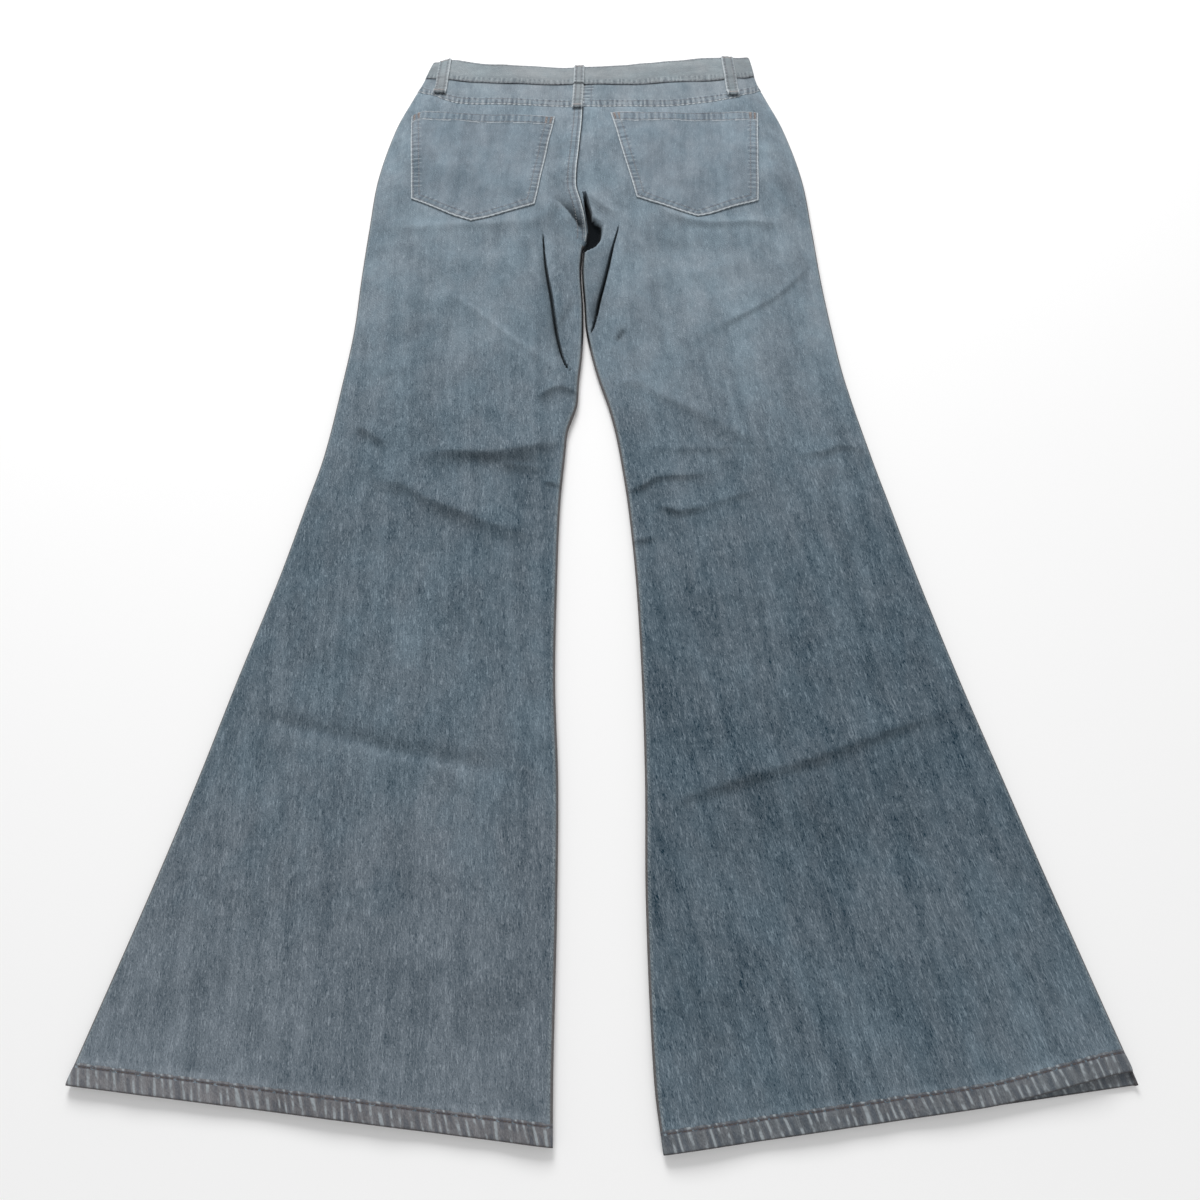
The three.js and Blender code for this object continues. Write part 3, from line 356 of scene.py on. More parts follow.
def crease_form(leg, x, y):
    """What the creases add to the height, how much shade is painted in and beside their folds, and how
    much paler their tops are painted, partly rubbed wear and partly a painted highlight.
    """
    rise = np.zeros(np.shape(x))
    dark = np.zeros(np.shape(x))
    rub_and_highlight = np.zeros(np.shape(x))
    for number, crease in enumerate(leg.creases):
        low, high = crease["path"].min(axis=0) - 50, crease["path"].max(axis=0) + 50
        close = (x > low[0]) & (x < high[0]) & (y > low[1]) & (y < high[1])
        if not close.any():
            continue
        far, along, run, side = near_path(crease["path"], x[close], y[close])
        width = np.where(side > 0, crease["soft"], crease["sharp"])
        if crease.get("slit"):
            opened = smooth(along, -0.02, 0.5) * (1 - smooth(along, 0.72, 1.02))
            cut = np.exp(-((far / (width * (0.42 + 0.78 * opened))) ** 4)) * smooth(opened, 0, 0.12)
            rise[close] += crease["rise"] * cut
            # Painted shade: the slit is painted almost black inside, and a soft painted shadow lies along
            # one side of it.
            lee = np.exp(-((far / 5.5) ** 2)) * (side < 0) * smooth(opened, 0, 0.7)
            dark[close] += np.maximum(0.93 * cut, 0.5 * lee)
            continue
        taper = smooth(along, -0.04, 0.3) * (1 - smooth(along, 0.66, 1.04))
        taper = taper * (1 + 0.14 * np.sin(run / 11 + 2.1 * number))
        rise[close] += crease["rise"] * taper * np.exp(-((far / width) ** 2))
        # Painted shade: beside a ridge it starts at the crest and fades over `fade` on the hem side, away
        # from the lamp; in a trough it lies along the bottom.
        if crease["rise"] > 0:
            past = np.where(side > 0, -far, far)
            fade = crease.get("fade", 1.5 * crease["sharp"])
            shape = smooth(past, -1.2, 1.8) * np.exp(-((np.maximum(past, 0) / fade) ** 2))
        else:
            shape = np.exp(-((far / (0.75 * width)) ** 2))
        dark[close] += crease.get("dark", min(0.2, 0.07 * abs(crease["rise"]))) * taper * shape
        # The crease's top is painted paler: rubbed wear together with a painted highlight.
        rub_and_highlight[close] += crease.get("rub_and_highlight", 0) * taper * np.exp(-((far / (0.6 * width)) ** 2))
    return rise, dark, rub_and_highlight


RIPPLES = [(0.42, 96, 0.4, 0.3), (0.34, 61, 1.3, 2.1), (0.26, 44, 2.2, 4.4), (0.2, 33, 0.9, 1.2)]


def ripple(x, y):
    """The faint unevenness of cloth that lies loose: crossing waves of given lengths."""
    total = np.zeros(np.shape(x))
    for size, length, turn, start in RIPPLES:
        across = x * math.cos(turn) + y * math.sin(turn)
        other = -x * math.sin(turn) + y * math.cos(turn)
        bent = across + 0.35 * length * np.sin(other / length * 1.7 + start)
        total += size * np.sin(2 * math.pi * bent / length + start)
    return total


def slipped_share(leg, x, y):
    if leg.inward > 0:
        return np.zeros(np.shape(x))
    along = (x - leg.outer(y)) / (leg.inner(y) - leg.outer(y))
    return (1 - smooth(along, 0.02, HEM_SLIP_SHARE)) * (1 - smooth(y, -500, -440))


def pit_share(x, y):
    far, along, _, _ = near_path(np.array(PIT_PATH, float), x, y)
    return np.exp(-((far / pit_width(along)) ** 6))


def back_crown(leg, x, y, sine, roll):
    out, inside = edge_distances(leg, x, y)
    share = leg_share(y)
    swell = smooth(out, 0, SWELL_WIDTH) * mix(1, smooth(inside, 0, SWELL_WIDTH), share)
    clear = smooth(out, 1, 9) * mix(1, smooth(inside, 1, 9), share)
    rise, _, _ = crease_form(leg, x, y)
    raised = (height_along(y) - SEAM_LEVEL - roll) * swell + (rise + ripple(x, y)) * clear
    lifted = raised + HEM_CURL_UP * slipped_share(leg, x, y) * smooth(out, 2, 60)
    level = SEAM_LEVEL + roll * sine + lifted
    if leg.inward > 0:
        return lifted
    return lifted + pit_share(x, y) * smooth(inside, 0.5, 3) * (PIT_FLOOR - level)


def back_turn(leg, x, y):
    roll = np.minimum(BACK_ROLL, height_along(y) - SEAM_LEVEL)
    radius = roll * ROLL_SPREAD
    out, inside = edge_distances(leg, x, y)
    share = leg_share(y)
    sine = turn_sine(out, radius) * mix(1, turn_sine(inside, radius), share)
    slope = leg.inward * (turn_cosine(inside, radius) * share - turn_cosine(out, radius))
    return roll, sine, slope


def back_skin(leg, x, y):
    """The back's outer points, the way each one faces, and how far the roll has turned up."""
    x, y = np.broadcast_arrays(np.asarray(x, float), np.asarray(y, float))
    roll, sine, slope = back_turn(leg, x, y)
    step = 0.4
    heights = [back_crown(leg, x + dx, y + dy, sine, roll)
               for dx, dy in ((0, 0), (step, 0), (-step, 0), (0, step), (0, -step))]
    across = (heights[1] - heights[2]) / (2 * step)
    along = (heights[3] - heights[4]) / (2 * step)
    point = np.stack([x, y, SEAM_LEVEL + roll * sine + heights[0]], axis=-1)
    facing = np.stack([slope - across * sine, -along * sine, sine], axis=-1)
    length = np.linalg.norm(facing, axis=-1, keepdims=True)
    return point, facing / np.maximum(length, 1e-9), sine


# %% The front skin
def front_lift(leg, x, y):
    away = x - centre_x(y)
    side = np.maximum(0, (x - leg.outer(y)) * leg.inward)
    near_waist = smooth(y, 330, 440)
    near_button = 1 - smooth(np.abs(away + FLY_LAP), 14, 50)
    lifted = (1.6 + 1.7 * near_button) * near_waist * smooth(side, 4, 50)
    if leg.inward > 0:
        return lifted
    over_lap = 1 - smooth(away, FLY_LAP + 4, FLY_LAP + 18)
    return lifted + 2 * over_lap * smooth(y, FLY_END_Y - 22, FLY_END_Y - 8)


def front_skin(leg, x, y, curled=1.0):
    x, y = np.broadcast_arrays(np.asarray(x, float), np.asarray(y, float))
    out, inside = edge_distances(leg, x, y)
    share = 1 - smooth(y, CROTCH_Y - 10, CROTCH_Y + 10)
    out_sine = mix(1, turn_sine(out, FRONT_CURL), curled)
    in_sine = mix(1, turn_sine(inside, FRONT_CURL), share)
    height = front_lift(leg, x, y) + FRONT_CURL * (2 - out_sine - in_sine)
    slope = turn_cosine(inside, FRONT_CURL) * share - turn_cosine(out, FRONT_CURL) * curled
    point = np.stack([x, y, height], axis=-1)
    facing = np.stack([leg.inward * slope, np.zeros(x.shape), -out_sine * in_sine], axis=-1)
    length = np.linalg.norm(facing, axis=-1, keepdims=True)
    return point, facing / np.maximum(length, 1e-9), out_sine * in_sine


button_lift = float(front_lift(left, centre_x(BUTTON_Y), BUTTON_Y))
print(f"the front lies {button_lift:.1f} mm up over the button")


# %% Lines across a leg
def line_across(rule, outer, inner):
    """A line from the outer edge to the inner edge, at the height that a rule gives for each x."""
    ends = []
    for edge in (outer, inner):
        x = edge(rule(edge(0.0)))
        for _ in range(12):
            x = edge(rule(x))
        ends.append(x)
    return lambda t: rule(mix(ends[0], ends[1], t))


def hem_line(leg, above):
    return lambda t: mix(leg.hem_outer, leg.hem_inner, t) + above


def back_hem_line(leg, above):
    slip = HEM_SLIP if leg is right else 0
    return lambda t: hem_line(leg, above)(t) + slip * (1 - smooth(t, 0, HEM_SLIP_SHARE))


def spread_rows(lower, upper, shares, outer, inner, places):
    """x and y for rows between two lines. places(width, y) gives each row's distances from its edge."""
    xs, ys = [], []
    for share in shares:
        y_from, y_to = (mix(lower(t), upper(t), share) for t in (0.0, 1.0))
        start, end = outer(y_from), inner(y_to)
        width = abs(end - start)
        t = places(width, y_to) / width
        xs.append(mix(start, end, t))
        ys.append(mix(lower(t), upper(t), share))
    return np.array(xs), np.array(ys)


# %% [markdown]
# ## From a grid of points to a piece of cloth
# A piece of cloth starts as Blender's own grid, with as many squares as the piece needs. Its points are
# then laid on the skin, row by row. In edit mode its faces are turned the way the cloth faces, and a
# Solidify modifier gives it the thickness of the denim, inwards, and is applied.

# %% Cloth helpers
def pick(piece):
    if bpy.context.object and bpy.context.object.mode != "OBJECT":
        bpy.ops.object.mode_set(mode="OBJECT")
    bpy.ops.object.select_all(action="DESELECT")
    piece.select_set(True)
    bpy.context.view_layer.objects.active = piece


def apply_modifier(piece, name, kind, **settings):
    pick(piece)
    modifier = piece.modifiers.new(name, kind)
    for key, value in settings.items():
        setattr(modifier, key, value)
    bpy.ops.object.modifier_apply(modifier=modifier.name)


def edit_all(piece, *steps):
    """Selects the whole piece in edit mode and runs each step there."""
    pick(piece)
    bpy.ops.object.mode_set(mode="EDIT")
    bpy.ops.mesh.select_all(action="SELECT")
    for step in steps:
        step()
    bpy.ops.object.mode_set(mode="OBJECT")


def lay_cloth(name, points, facing, grain, marks, thick, closed=False):
    """A sheet laid on rows of points (millimetres). Its grain is a UV map, its marks attributes."""
    rows, columns = points.shape[:2]
    bpy.ops.object.select_all(action="DESELECT")
    bpy.ops.mesh.primitive_grid_add(x_subdivisions=columns - 1, y_subdivisions=rows - 1, size=1)
    piece = bpy.context.object
    piece.name = piece.data.name = name
    mesh = piece.data
    flat = np.empty(len(mesh.vertices) * 3, np.float32)
    mesh.vertices.foreach_get("co", flat)
    flat = flat.reshape(-1, 3)
    column = np.rint((flat[:, 0] + 0.5) * (columns - 1)).astype(int)
    row = np.rint((flat[:, 1] + 0.5) * (rows - 1)).astype(int)
    placed = points[row, column] * MM
    mesh.vertices.foreach_set("co", placed.astype(np.float32).ravel())
    corner = np.empty(len(mesh.loops), np.int32)
    mesh.loops.foreach_get("vertex_index", corner)
    for layer in list(mesh.uv_layers):
        mesh.uv_layers.remove(layer)
    mesh.uv_layers.new(name="grain")
    uv = (grain[row, column] * MM)[corner]
    mesh.uv_layers["grain"].uv.foreach_set("vector", uv.astype(np.float32).ravel())
    for mark, values in marks.items():
        layer = mesh.attributes.new(mark, "FLOAT", "POINT")
        layer.data.foreach_set("value", values[row, column].astype(np.float32))
    mesh.update()
    normals = np.empty(len(mesh.vertices) * 3, np.float32)
    mesh.vertices.foreach_get("normal", normals)
    if (normals.reshape(-1, 3) * facing[row, column]).sum() < 0:
        edit_all(piece, bpy.ops.mesh.flip_normals)
    if closed:
        edit_all(piece, lambda: bpy.ops.mesh.remove_doubles(threshold=0.02 * MM))
    if thick:
        apply_modifier(piece, "Thickness", "SOLIDIFY", thickness=thick * MM, offset=-1)
    pick(piece)
    bpy.ops.object.shade_smooth_by_angle(angle=math.radians(50))
    return piece


def grain_on(leg, x, y):
    """The way the yarns run: nearly straight down the left leg, and slanting out down the right."""
    levels = np.linspace(-560, 560, 141)
    lean = curve_through([-560, -430, 100, 330, 560], [-0.22, -0.21, -0.09, -0.03, -0.03])
    slope = np.full(levels.shape, -0.06) if leg.inward > 0 else lean(levels)
    drift = np.concatenate([[0], np.cumsum((slope[1:] + slope[:-1]) / 2 * np.diff(levels))])
    return np.stack([x - np.interp(y, levels, drift) + 400, y + 600], axis=-1)


# %% [markdown]
# ## Where the denim is paler and where it is darker
# The seat and waist are paler and the legs darker towards the hems: partly the cloth's own wash, partly
# painted light that falls off away from the lamp beyond the waist. One attribute, `wash`, says how
# pale each point is. `shade` marks painted shade: deep in a fold, in a slit or the pit, beside a ridge, in
# the gap between the legs and under an edge that stands proud. `edge` says how far the nearest sewn edge
# is and `run` how far along that edge the point lies, so that wear can follow the seams. `grey` takes the
# blue out towards a hem, and `side` is the distance from a side seam or an inseam.

# %% Wash
# Paler towards the waist: the cloth's wash, and painted light that falls off towards the hems.
wash_and_light_along = {
    "left": curve_through([-545, -430, -300, -160, -63, 0, 73, 160, 267, 341, 440, 545],
                          [0.42, 0.33, 0.3, 0.26, 0.22, 0.3, 0.45, 0.62, 0.74, 0.79, 0.86, 0.95]),
    "right": curve_through([-545, -430, -300, -160, -63, 0, 73, 160, 267, 341, 440, 545],
                           [0.26, 0.13, 0.07, 0.13, 0.22, 0.34, 0.54, 0.72, 0.77, 0.8, 0.88, 0.95]),
}
for name, wash_and_light_at in wash_and_light_along.items():
    seat, foot = (float(wash_and_light_at(y)) for y in (341, -430))
    print(f"{name} leg's wash: {seat:.2f} at the seat, {foot:.2f} near the hem")


def wash_and_light_on(leg, x, y):
    out, inside = edge_distances(leg, x, y)
    middle = smooth(out, 0, 60) * smooth(inside, 0, 60)
    inner_thigh = smooth(y, 60, 160) * (1 - smooth(y, 250, 300)) * (1 - smooth(inside, 20, 70))
    corner = (1 - smooth(y, -480, -360)) * (1 - smooth(out, 30, 150))
    return wash_and_light_along[leg.name](y) + 0.05 * (middle - 0.5) - 0.1 * inner_thigh + 0.15 * corner


def marks_on(leg, x, y, edge, run, lighter_by=0.0, shade=None):
    return {
        "wash": wash_and_light_on(leg, x, y) + lighter_by,
        "shade": np.zeros(x.shape) if shade is None else shade,
        "grey": (leg.inward > 0) * (1 - smooth(y, -470, -250)),
        "edge": edge * MM,
        "run": run * MM,
    }


# %% [markdown]
# ## The denim
# Denim is a twill: white weft under blue warp. Seen from a step away it shows three things. Short pale
# slubs lie along the warp with small dark ones between them, long soft streaks run down the cloth, and
# the wash has left cloudy patches. Several pieces share this, so it is a node group, built once, that
# reads the grain and puts out a colour, a height for the bump and a roughness.

# %% Node helpers
def new_group(name, inputs, outputs):
    group = bpy.data.node_groups.new(name, "ShaderNodeTree")
    for title, kind, value in inputs:
        socket = group.interface.new_socket(name=title, in_out="INPUT", socket_type=kind)
        if value is not None:
            socket.default_value = value
    for title, kind in outputs:
        group.interface.new_socket(name=title, in_out="OUTPUT", socket_type=kind)
    return group, group.nodes.new("NodeGroupInput"), group.nodes.new("NodeGroupOutput")


def node(tree, kind, settings=None, **inputs):
    made = tree.nodes.new(kind)
    for key, value in (settings or {}).items():
        setattr(made, key, value)
    for title, value in inputs.items():
        socket = made.inputs[int(title[1:]) if title[0] == "i" and title[1:].isdigit() else title]
        if isinstance(value, bpy.types.NodeSocket):
            tree.links.new(value, socket)
        else:
            socket.default_value = value
    return made


def maths(tree, operation, first, second=0.0, clamp=False):
    settings = {"operation": operation, "use_clamp": clamp}
    return node(tree, "ShaderNodeMath", settings, i0=first, i1=second).outputs[0]


def ramp(tree, value, low, high, to_low=0.0, to_high=1.0):
    settings = {"interpolation_type": "SMOOTHSTEP"}
    made = node(tree, "ShaderNodeMapRange", settings, Value=value)
    for title, number in (("From Min", low), ("From Max", high), ("To Min", to_low), ("To Max", to_high)):
        made.inputs[title].default_value = number
    return made.outputs["Result"]


def blend_colour(tree, share, first, second, way="MIX"):
    settings = {"data_type": "RGBA", "blend_type": way}
    return node(tree, "ShaderNodeMix", settings, i0=share, i6=first, i7=second).outputs[2]


def noise(tree, vector, scale, detail=2.0, roughness=0.5):
    scaled = node(tree, "ShaderNodeVectorMath", {"operation": "MULTIPLY"}, i0=vector, i1=scale)
    settings = {"noise_dimensions": "2D"}
    made = node(tree, "ShaderNodeTexNoise", settings, Vector=scaled.outputs[0], Scale=1.0, Detail=detail)
    made.inputs["Roughness"].default_value = roughness
    return made.outputs[0]


def wiggly(tree, vector, scale):
    """Noise drawn out along the grain, and bent, as slubs in a yarn are."""
    scaled = node(tree, "ShaderNodeVectorMath", {"operation": "MULTIPLY"}, i0=vector, i1=scale)
    made = node(tree, "ShaderNodeTexNoise", {"noise_dimensions": "2D"}, Vector=scaled.outputs[0],
                Scale=1.0, Detail=1.5, Distortion=0.9)
    return made.outputs[0]


def srgb(red, green, blue):
    """A colour as a screen shows it, turned into the linear values that Blender's sockets take."""
    return (*(((c / 255 + 0.055) / 1.055) ** 2.4 if c > 10 else c / 255 / 12.92
              for c in (red, green, blue)), 1.0)


# %% The denim group
TINT = (1.09, 0.985, 0.955, 1.0)


def build_denim_group():
    group, given, result = new_group(
        "Washed denim",
        [("Grain", "NodeSocketVector", None), ("Wash", "NodeSocketFloat", 0.5),
         ("Deep", "NodeSocketColor", None), ("Pale", "NodeSocketColor", None),
         ("Slubs", "NodeSocketFloat", 1.0), ("Grey", "NodeSocketFloat", 0.0)],
        [("Colour", "NodeSocketColor"), ("Height", "NodeSocketFloat"), ("Roughness", "NodeSocketFloat")],
    )
    grain = given.outputs["Grain"]
    pale_slub = ramp(group, wiggly(group, grain, (900, 175, 1)), 0.55, 0.7)
    long_slub = ramp(group, wiggly(group, grain, (1150, 110, 1)), 0.58, 0.73)
    dark_slub = ramp(group, wiggly(group, grain, (1050, 260, 1)), 0.45, 0.3)
    mottle = ramp(group, noise(group, grain, (130, 70, 1), 2.0), 0.3, 0.7, -1.0, 1.0)
    streak = ramp(group, noise(group, grain, (85, 6, 1), 3.0), 0.3, 0.7, -1.0, 1.0)
    cloud = ramp(group, noise(group, grain, (24, 17, 1), 4.0, 0.6), 0.3, 0.7, -1.0, 1.0)
    fine = ramp(group, noise(group, grain, (1700, 700, 1), 1.0), 0.3, 0.7, -1.0, 1.0)
    wash = maths(group, "ADD", given.outputs["Wash"], maths(group, "MULTIPLY", streak, 0.1))
    cloudy = ramp(group, given.outputs["Wash"], 0.3, 0.8, 0.085, 0.2)
    wash = maths(group, "ADD", wash, maths(group, "MULTIPLY", cloud, cloudy))
    wash = maths(group, "ADD", wash, maths(group, "MULTIPLY", mottle, 0.07))
    wash = maths(group, "ADD", wash, maths(group, "MULTIPLY", fine, 0.11))
    slubs = maths(group, "ADD", maths(group, "MULTIPLY", pale_slub, 0.5),
                  maths(group, "MULTIPLY", long_slub, 0.36))
    slubs = maths(group, "SUBTRACT", slubs, maths(group, "MULTIPLY", dark_slub, 0.36))
    calm = ramp(group, given.outputs["Wash"], 0.3, 0.8, 1.0, 0.68)
    calm = maths(group, "MULTIPLY", given.outputs["Slubs"], calm)
    wash = maths(group, "ADD", wash, maths(group, "MULTIPLY", slubs, calm))
    colour = node(group, "ShaderNodeMix", {"data_type": "RGBA", "clamp_factor": False}, i0=wash,
                  i6=given.outputs["Deep"], i7=given.outputs["Pale"]).outputs[2]
    tint = ramp(group, noise(group, grain, (26, 18, 1), 3.0, 0.6), 0.28, 0.7)
    tint = maths(group, "ADD", maths(group, "MULTIPLY", tint, 0.6), given.outputs["Grey"], clamp=True)
    colour = blend_colour(group, tint, colour, TINT, "MULTIPLY")
    twill = node(group, "ShaderNodeTexWave", {"bands_direction": "DIAGONAL"},
                 Vector=grain, Scale=190.0, Distortion=1.5, Detail=1.0)
    twill.inputs["Detail Scale"].default_value = 0.5
    height = maths(group, "ADD", maths(group, "MULTIPLY", twill.outputs["Fac"], 0.35),
                   maths(group, "MULTIPLY", maths(group, "ADD", pale_slub, fine), 0.4))
    roughness = ramp(group, cloud, -1.0, 1.0, 0.82, 0.92)
    group.links.new(colour, result.inputs["Colour"])
    group.links.new(height, result.inputs["Height"])
    group.links.new(roughness, result.inputs["Roughness"])
    return group


denim_group = build_denim_group()
print("denim group nodes:", len(denim_group.nodes))


# %% [markdown]
# ## Wear along the seams, and painted shade in their rows
# Where two or more layers are sewn and washed, the seam shrinks and puckers. The tops of the puckers rub
# pale, their hollows stay dark, and the very edge of the folded cloth is rubbed palest. Where the rows of
# stitches sink into the cloth, `Sunk` paints shade in the groove. This group takes the distance from the
# edge and the run along it, and puts out how pale and how dark a place is.

# %% The seam wear group
def build_seam_group():
    group, given, result = new_group(
        "Seam wear",
        [("Edge", "NodeSocketFloat", 1.0), ("Run", "NodeSocketFloat", 0.0),
         ("Pitch", "NodeSocketFloat", 0.005), ("Reach", "NodeSocketFloat", 0.01),
         ("Lean", "NodeSocketFloat", 0.0), ("Broken", "NodeSocketFloat", 0.2),
         ("First row", "NodeSocketFloat", 0.0022), ("Second row", "NodeSocketFloat", 0.0082)],
        [("Worn", "NodeSocketFloat"), ("Shaded", "NodeSocketFloat"), ("Rim", "NodeSocketFloat"),
         ("Sunk", "NodeSocketFloat")],
    )
    edge, run = given.outputs["Edge"], given.outputs["Run"]
    leaned = maths(group, "ADD", run, maths(group, "MULTIPLY", edge, given.outputs["Lean"]))
    steps = maths(group, "DIVIDE", leaned, given.outputs["Pitch"])
    across = maths(group, "MULTIPLY", edge, 60.0)
    place = node(group, "ShaderNodeCombineXYZ", None, X=steps, Y=across, Z=0.0).outputs[0]
    wander = noise(group, place, (0.4, 0.3, 1.0), 1.0)
    phase = maths(group, "ADD", steps, maths(group, "MULTIPLY", wander, 1.5))
    wave = maths(group, "SINE", maths(group, "MULTIPLY", phase, 2 * math.pi))
    strength = ramp(group, noise(group, place, (0.9, 2.2, 1.0), 2.0), 0.38, 0.6, 0.15, 1.0)
    depth = maths(group, "DIVIDE", edge, given.outputs["Reach"])
    inside = maths(group, "MULTIPLY", ramp(group, depth, 1.12, 0.88), strength)
    worn = maths(group, "MULTIPLY", ramp(group, wave, 0.3, 0.95), inside)
    shaded = maths(group, "MULTIPLY", ramp(group, wave, 0.1, -0.8), inside)
    gap = maths(group, "MULTIPLY", ramp(group, wave, 0.5, -0.5), given.outputs["Broken"])
    rim = maths(group, "MULTIPLY", ramp(group, edge, 0.0018, 0.0007), maths(group, "SUBTRACT", 1.0, gap))
    # Sunk: painted shade along the two stitch rows, where the thread pulls the cloth into a groove.
    rows = [ramp(group, maths(group, "ABSOLUTE", maths(group, "SUBTRACT", edge, given.outputs[row])),
                 0.0012, 0.0003) for row in ("First row", "Second row")]
    sunk = maths(group, "MAXIMUM", *rows)
    for title, value in (("Worn", worn), ("Shaded", shaded), ("Rim", rim), ("Sunk", sunk)):
        group.links.new(value, result.inputs[title])
    return group


seam_group = build_seam_group()
print("seam group nodes:", len(seam_group.nodes))


# %% Denim materials
SIDE_RUBBED = srgb(152, 162, 167)
SIDE_RIM = srgb(98, 90, 86)
# Near-black colour of the painted shade in folds, slits, the pit and under edges that stand proud.
PAINTED_SHADE_COLOUR = srgb(5, 11, 16)


def read_mark(tree, name):
    return node(tree, "ShaderNodeAttribute", {"attribute_name": name}).outputs["Fac"]


def denim_material(name, deep=(75, 91, 102), pale=(129, 145, 156), slubs=1.0, pitch=0.0068, reach=0.011,
                   lean=0.0, worn=0.5, worn_colour=(164, 172, 177), shaded=0.4, rim=0.7,
                   rim_colour=(194, 201, 205), broken=0.2, rows=(0.0022, 0.0082), sunk=0.3,
                   has_sides=False):
    material = bpy.data.materials.new(name)
    material.use_nodes = True
    tree = material.node_tree
    shader = tree.nodes["Principled BSDF"]
    grain = node(tree, "ShaderNodeUVMap", {"uv_map": "grain"}).outputs[0]
    denim = node(tree, "ShaderNodeGroup", {"node_tree": denim_group}, Grain=grain,
                 Wash=read_mark(tree, "wash"), Deep=srgb(*deep), Pale=srgb(*pale), Slubs=slubs,
                 Grey=read_mark(tree, "grey"))
    seam = node(tree, "ShaderNodeGroup", {"node_tree": seam_group}, Edge=read_mark(tree, "edge"),
                Run=read_mark(tree, "run"), Pitch=pitch, Reach=reach, Lean=lean, Broken=broken)
    seam.inputs["First row"].default_value, seam.inputs["Second row"].default_value = rows
    colour = denim.outputs["Colour"]
    # Shaded, Worn and Rim are the wear of the puckered seam; Sunk is painted shade in the stitch-row
    # grooves.
    for title, share, paint in (("Shaded", shaded, (66, 76, 88)), ("Worn", worn, worn_colour),
                                ("Sunk", sunk, (84, 82, 88)), ("Rim", rim, rim_colour)):
        amount = maths(tree, "MULTIPLY", seam.outputs[title], share)
        colour = blend_colour(tree, amount, colour, srgb(*paint))
    if has_sides:
        side = read_mark(tree, "side")
        rubbed = maths(tree, "MULTIPLY", ramp(tree, side, 0.0045, 0.0028),
                       ramp(tree, denim.outputs["Height"], 0.1, 0.7, 0.15, 0.6))
        colour = blend_colour(tree, rubbed, colour, SIDE_RUBBED)
        colour = blend_colour(tree, ramp(tree, side, 0.0022, 0.001, 0.0, 0.75), colour, SIDE_RIM)
    # Painted shade: the shade attribute darkens the colour towards near black.
    colour = blend_colour(tree, read_mark(tree, "shade"), colour, PAINTED_SHADE_COLOUR)
    height = maths(tree, "ADD", denim.outputs["Height"],
                   maths(tree, "MULTIPLY", seam.outputs["Worn"], 1.4))
    relief = node(tree, "ShaderNodeBump", None, Height=height, Distance=0.0006, Strength=0.5)
    tree.links.new(colour, shader.inputs["Base Color"])
    tree.links.new(denim.outputs["Roughness"], shader.inputs["Roughness"])
    tree.links.new(relief.outputs[0], shader.inputs["Normal"])
    shader.inputs["Specular IOR Level"].default_value = 0.06
    shader.inputs["Sheen Weight"].default_value = 0.03
    shader.inputs["Sheen Roughness"].default_value = 0.5
    return material


leg_denim = denim_material("Leg denim", worn=0.25, shaded=0.2, rim=0.92, rows=(0.0036, 0.0086), sunk=0.4,
                           has_sides=True)
seat_denim = denim_material("Yoke denim", pale=(130, 143, 152), slubs=0.8, pitch=0.0058, reach=0.0115,
                            worn=0.6, shaded=0.55, rim=0.8, broken=0.75, rows=(0.0016, 0.009))
pocket_denim = denim_material("Pocket denim", pale=(126, 141, 152), slubs=0.8, worn=0.38,
                              shaded=0.36, rim=0.85)
band_denim = denim_material("Waistband denim", (82, 92, 98), (134, 144, 149), slubs=0.6, pitch=0.0056,
                            reach=0.0095, worn=0.5, shaded=0.4, rim=0.5, rim_colour=(172, 162, 156),
                            rows=(0.0022, 0.0022), sunk=0.5)
loop_denim = denim_material("Belt loop denim", (91, 102, 109), (137, 147, 152), slubs=0.5, pitch=0.006,
                            reach=0.0035, worn=0.4, shaded=0.35, rim=0.85, rows=(0.0032, 0.0032))
hem_denim = denim_material("Hem denim", (88, 93, 98), (130, 136, 141), slubs=0.6, pitch=0.0062,
                           reach=0.03, lean=0.3, worn=0.8, shaded=0.4, rim=0.75, rim_colour=(66, 60, 58),
                           rows=(0.0119, 0.0119), sunk=0.8)
for material in (leg_denim, seat_denim, pocket_denim, band_denim, loop_denim, hem_denim):
    print(f"{material.name}: {len(material.node_tree.nodes)} nodes")


# %% Finishing a piece
def finish_cloth(piece, material, node_name):
    piece.data.materials.clear()
    piece.data.materials.append(material)
    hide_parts(node_name)
    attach(piece, "root")
    total = sum(polygon.area for polygon in piece.data.polygons)
    print(f"{piece.name}: {len(piece.data.polygons)} faces, {total / 2:.4f} square metres a side")


# %% [markdown]
# ## The back panels
# Each back panel is one piece of denim from the yoke seam to the hem. The grid's columns are closest
# where the cloth turns most: at the two rolled edges and on both sides of the long slit-like fold beside
# the inseam. Its rows are closest at the knee and at the crotch, where the creases are.

# %% Back panels
ROLL_STEPS = np.array([0, 0.3, 0.8, 1.4, 2.2, 3.2, 4.4, 6, 8.2, 11, 14])
CROTCH_STEPS = np.array([0, 0.3, 0.8, 1.4, 2.2, 3.2, 4.4, 5.6, 7, 8.5, 10.2, 12])
SLIT_STEPS = np.array([-8, -6, -4.4, -3.1, -2.1, -1.3, -0.6, 0, 0.6, 1.3, 2.1, 3.1, 4.4, 6, 8])
slit_inset = {
    "left": curve_through([60, 90, 101, 130, 170, 212, 254, 320], [16, 14, 19, 26, 31, 35, 43, 43]),
    "right": curve_through([110, 134, 169, 197, 231, 262, 320], [13, 12, 14, 22, 27, 33, 38]),
}
BACK_ROWS = [(-514, 1.7), (-330, 4.4), (-235, 3.2), (-112, 4.4), (68, 2.2), (110, 3), (310, 2),
             (600, 4)]


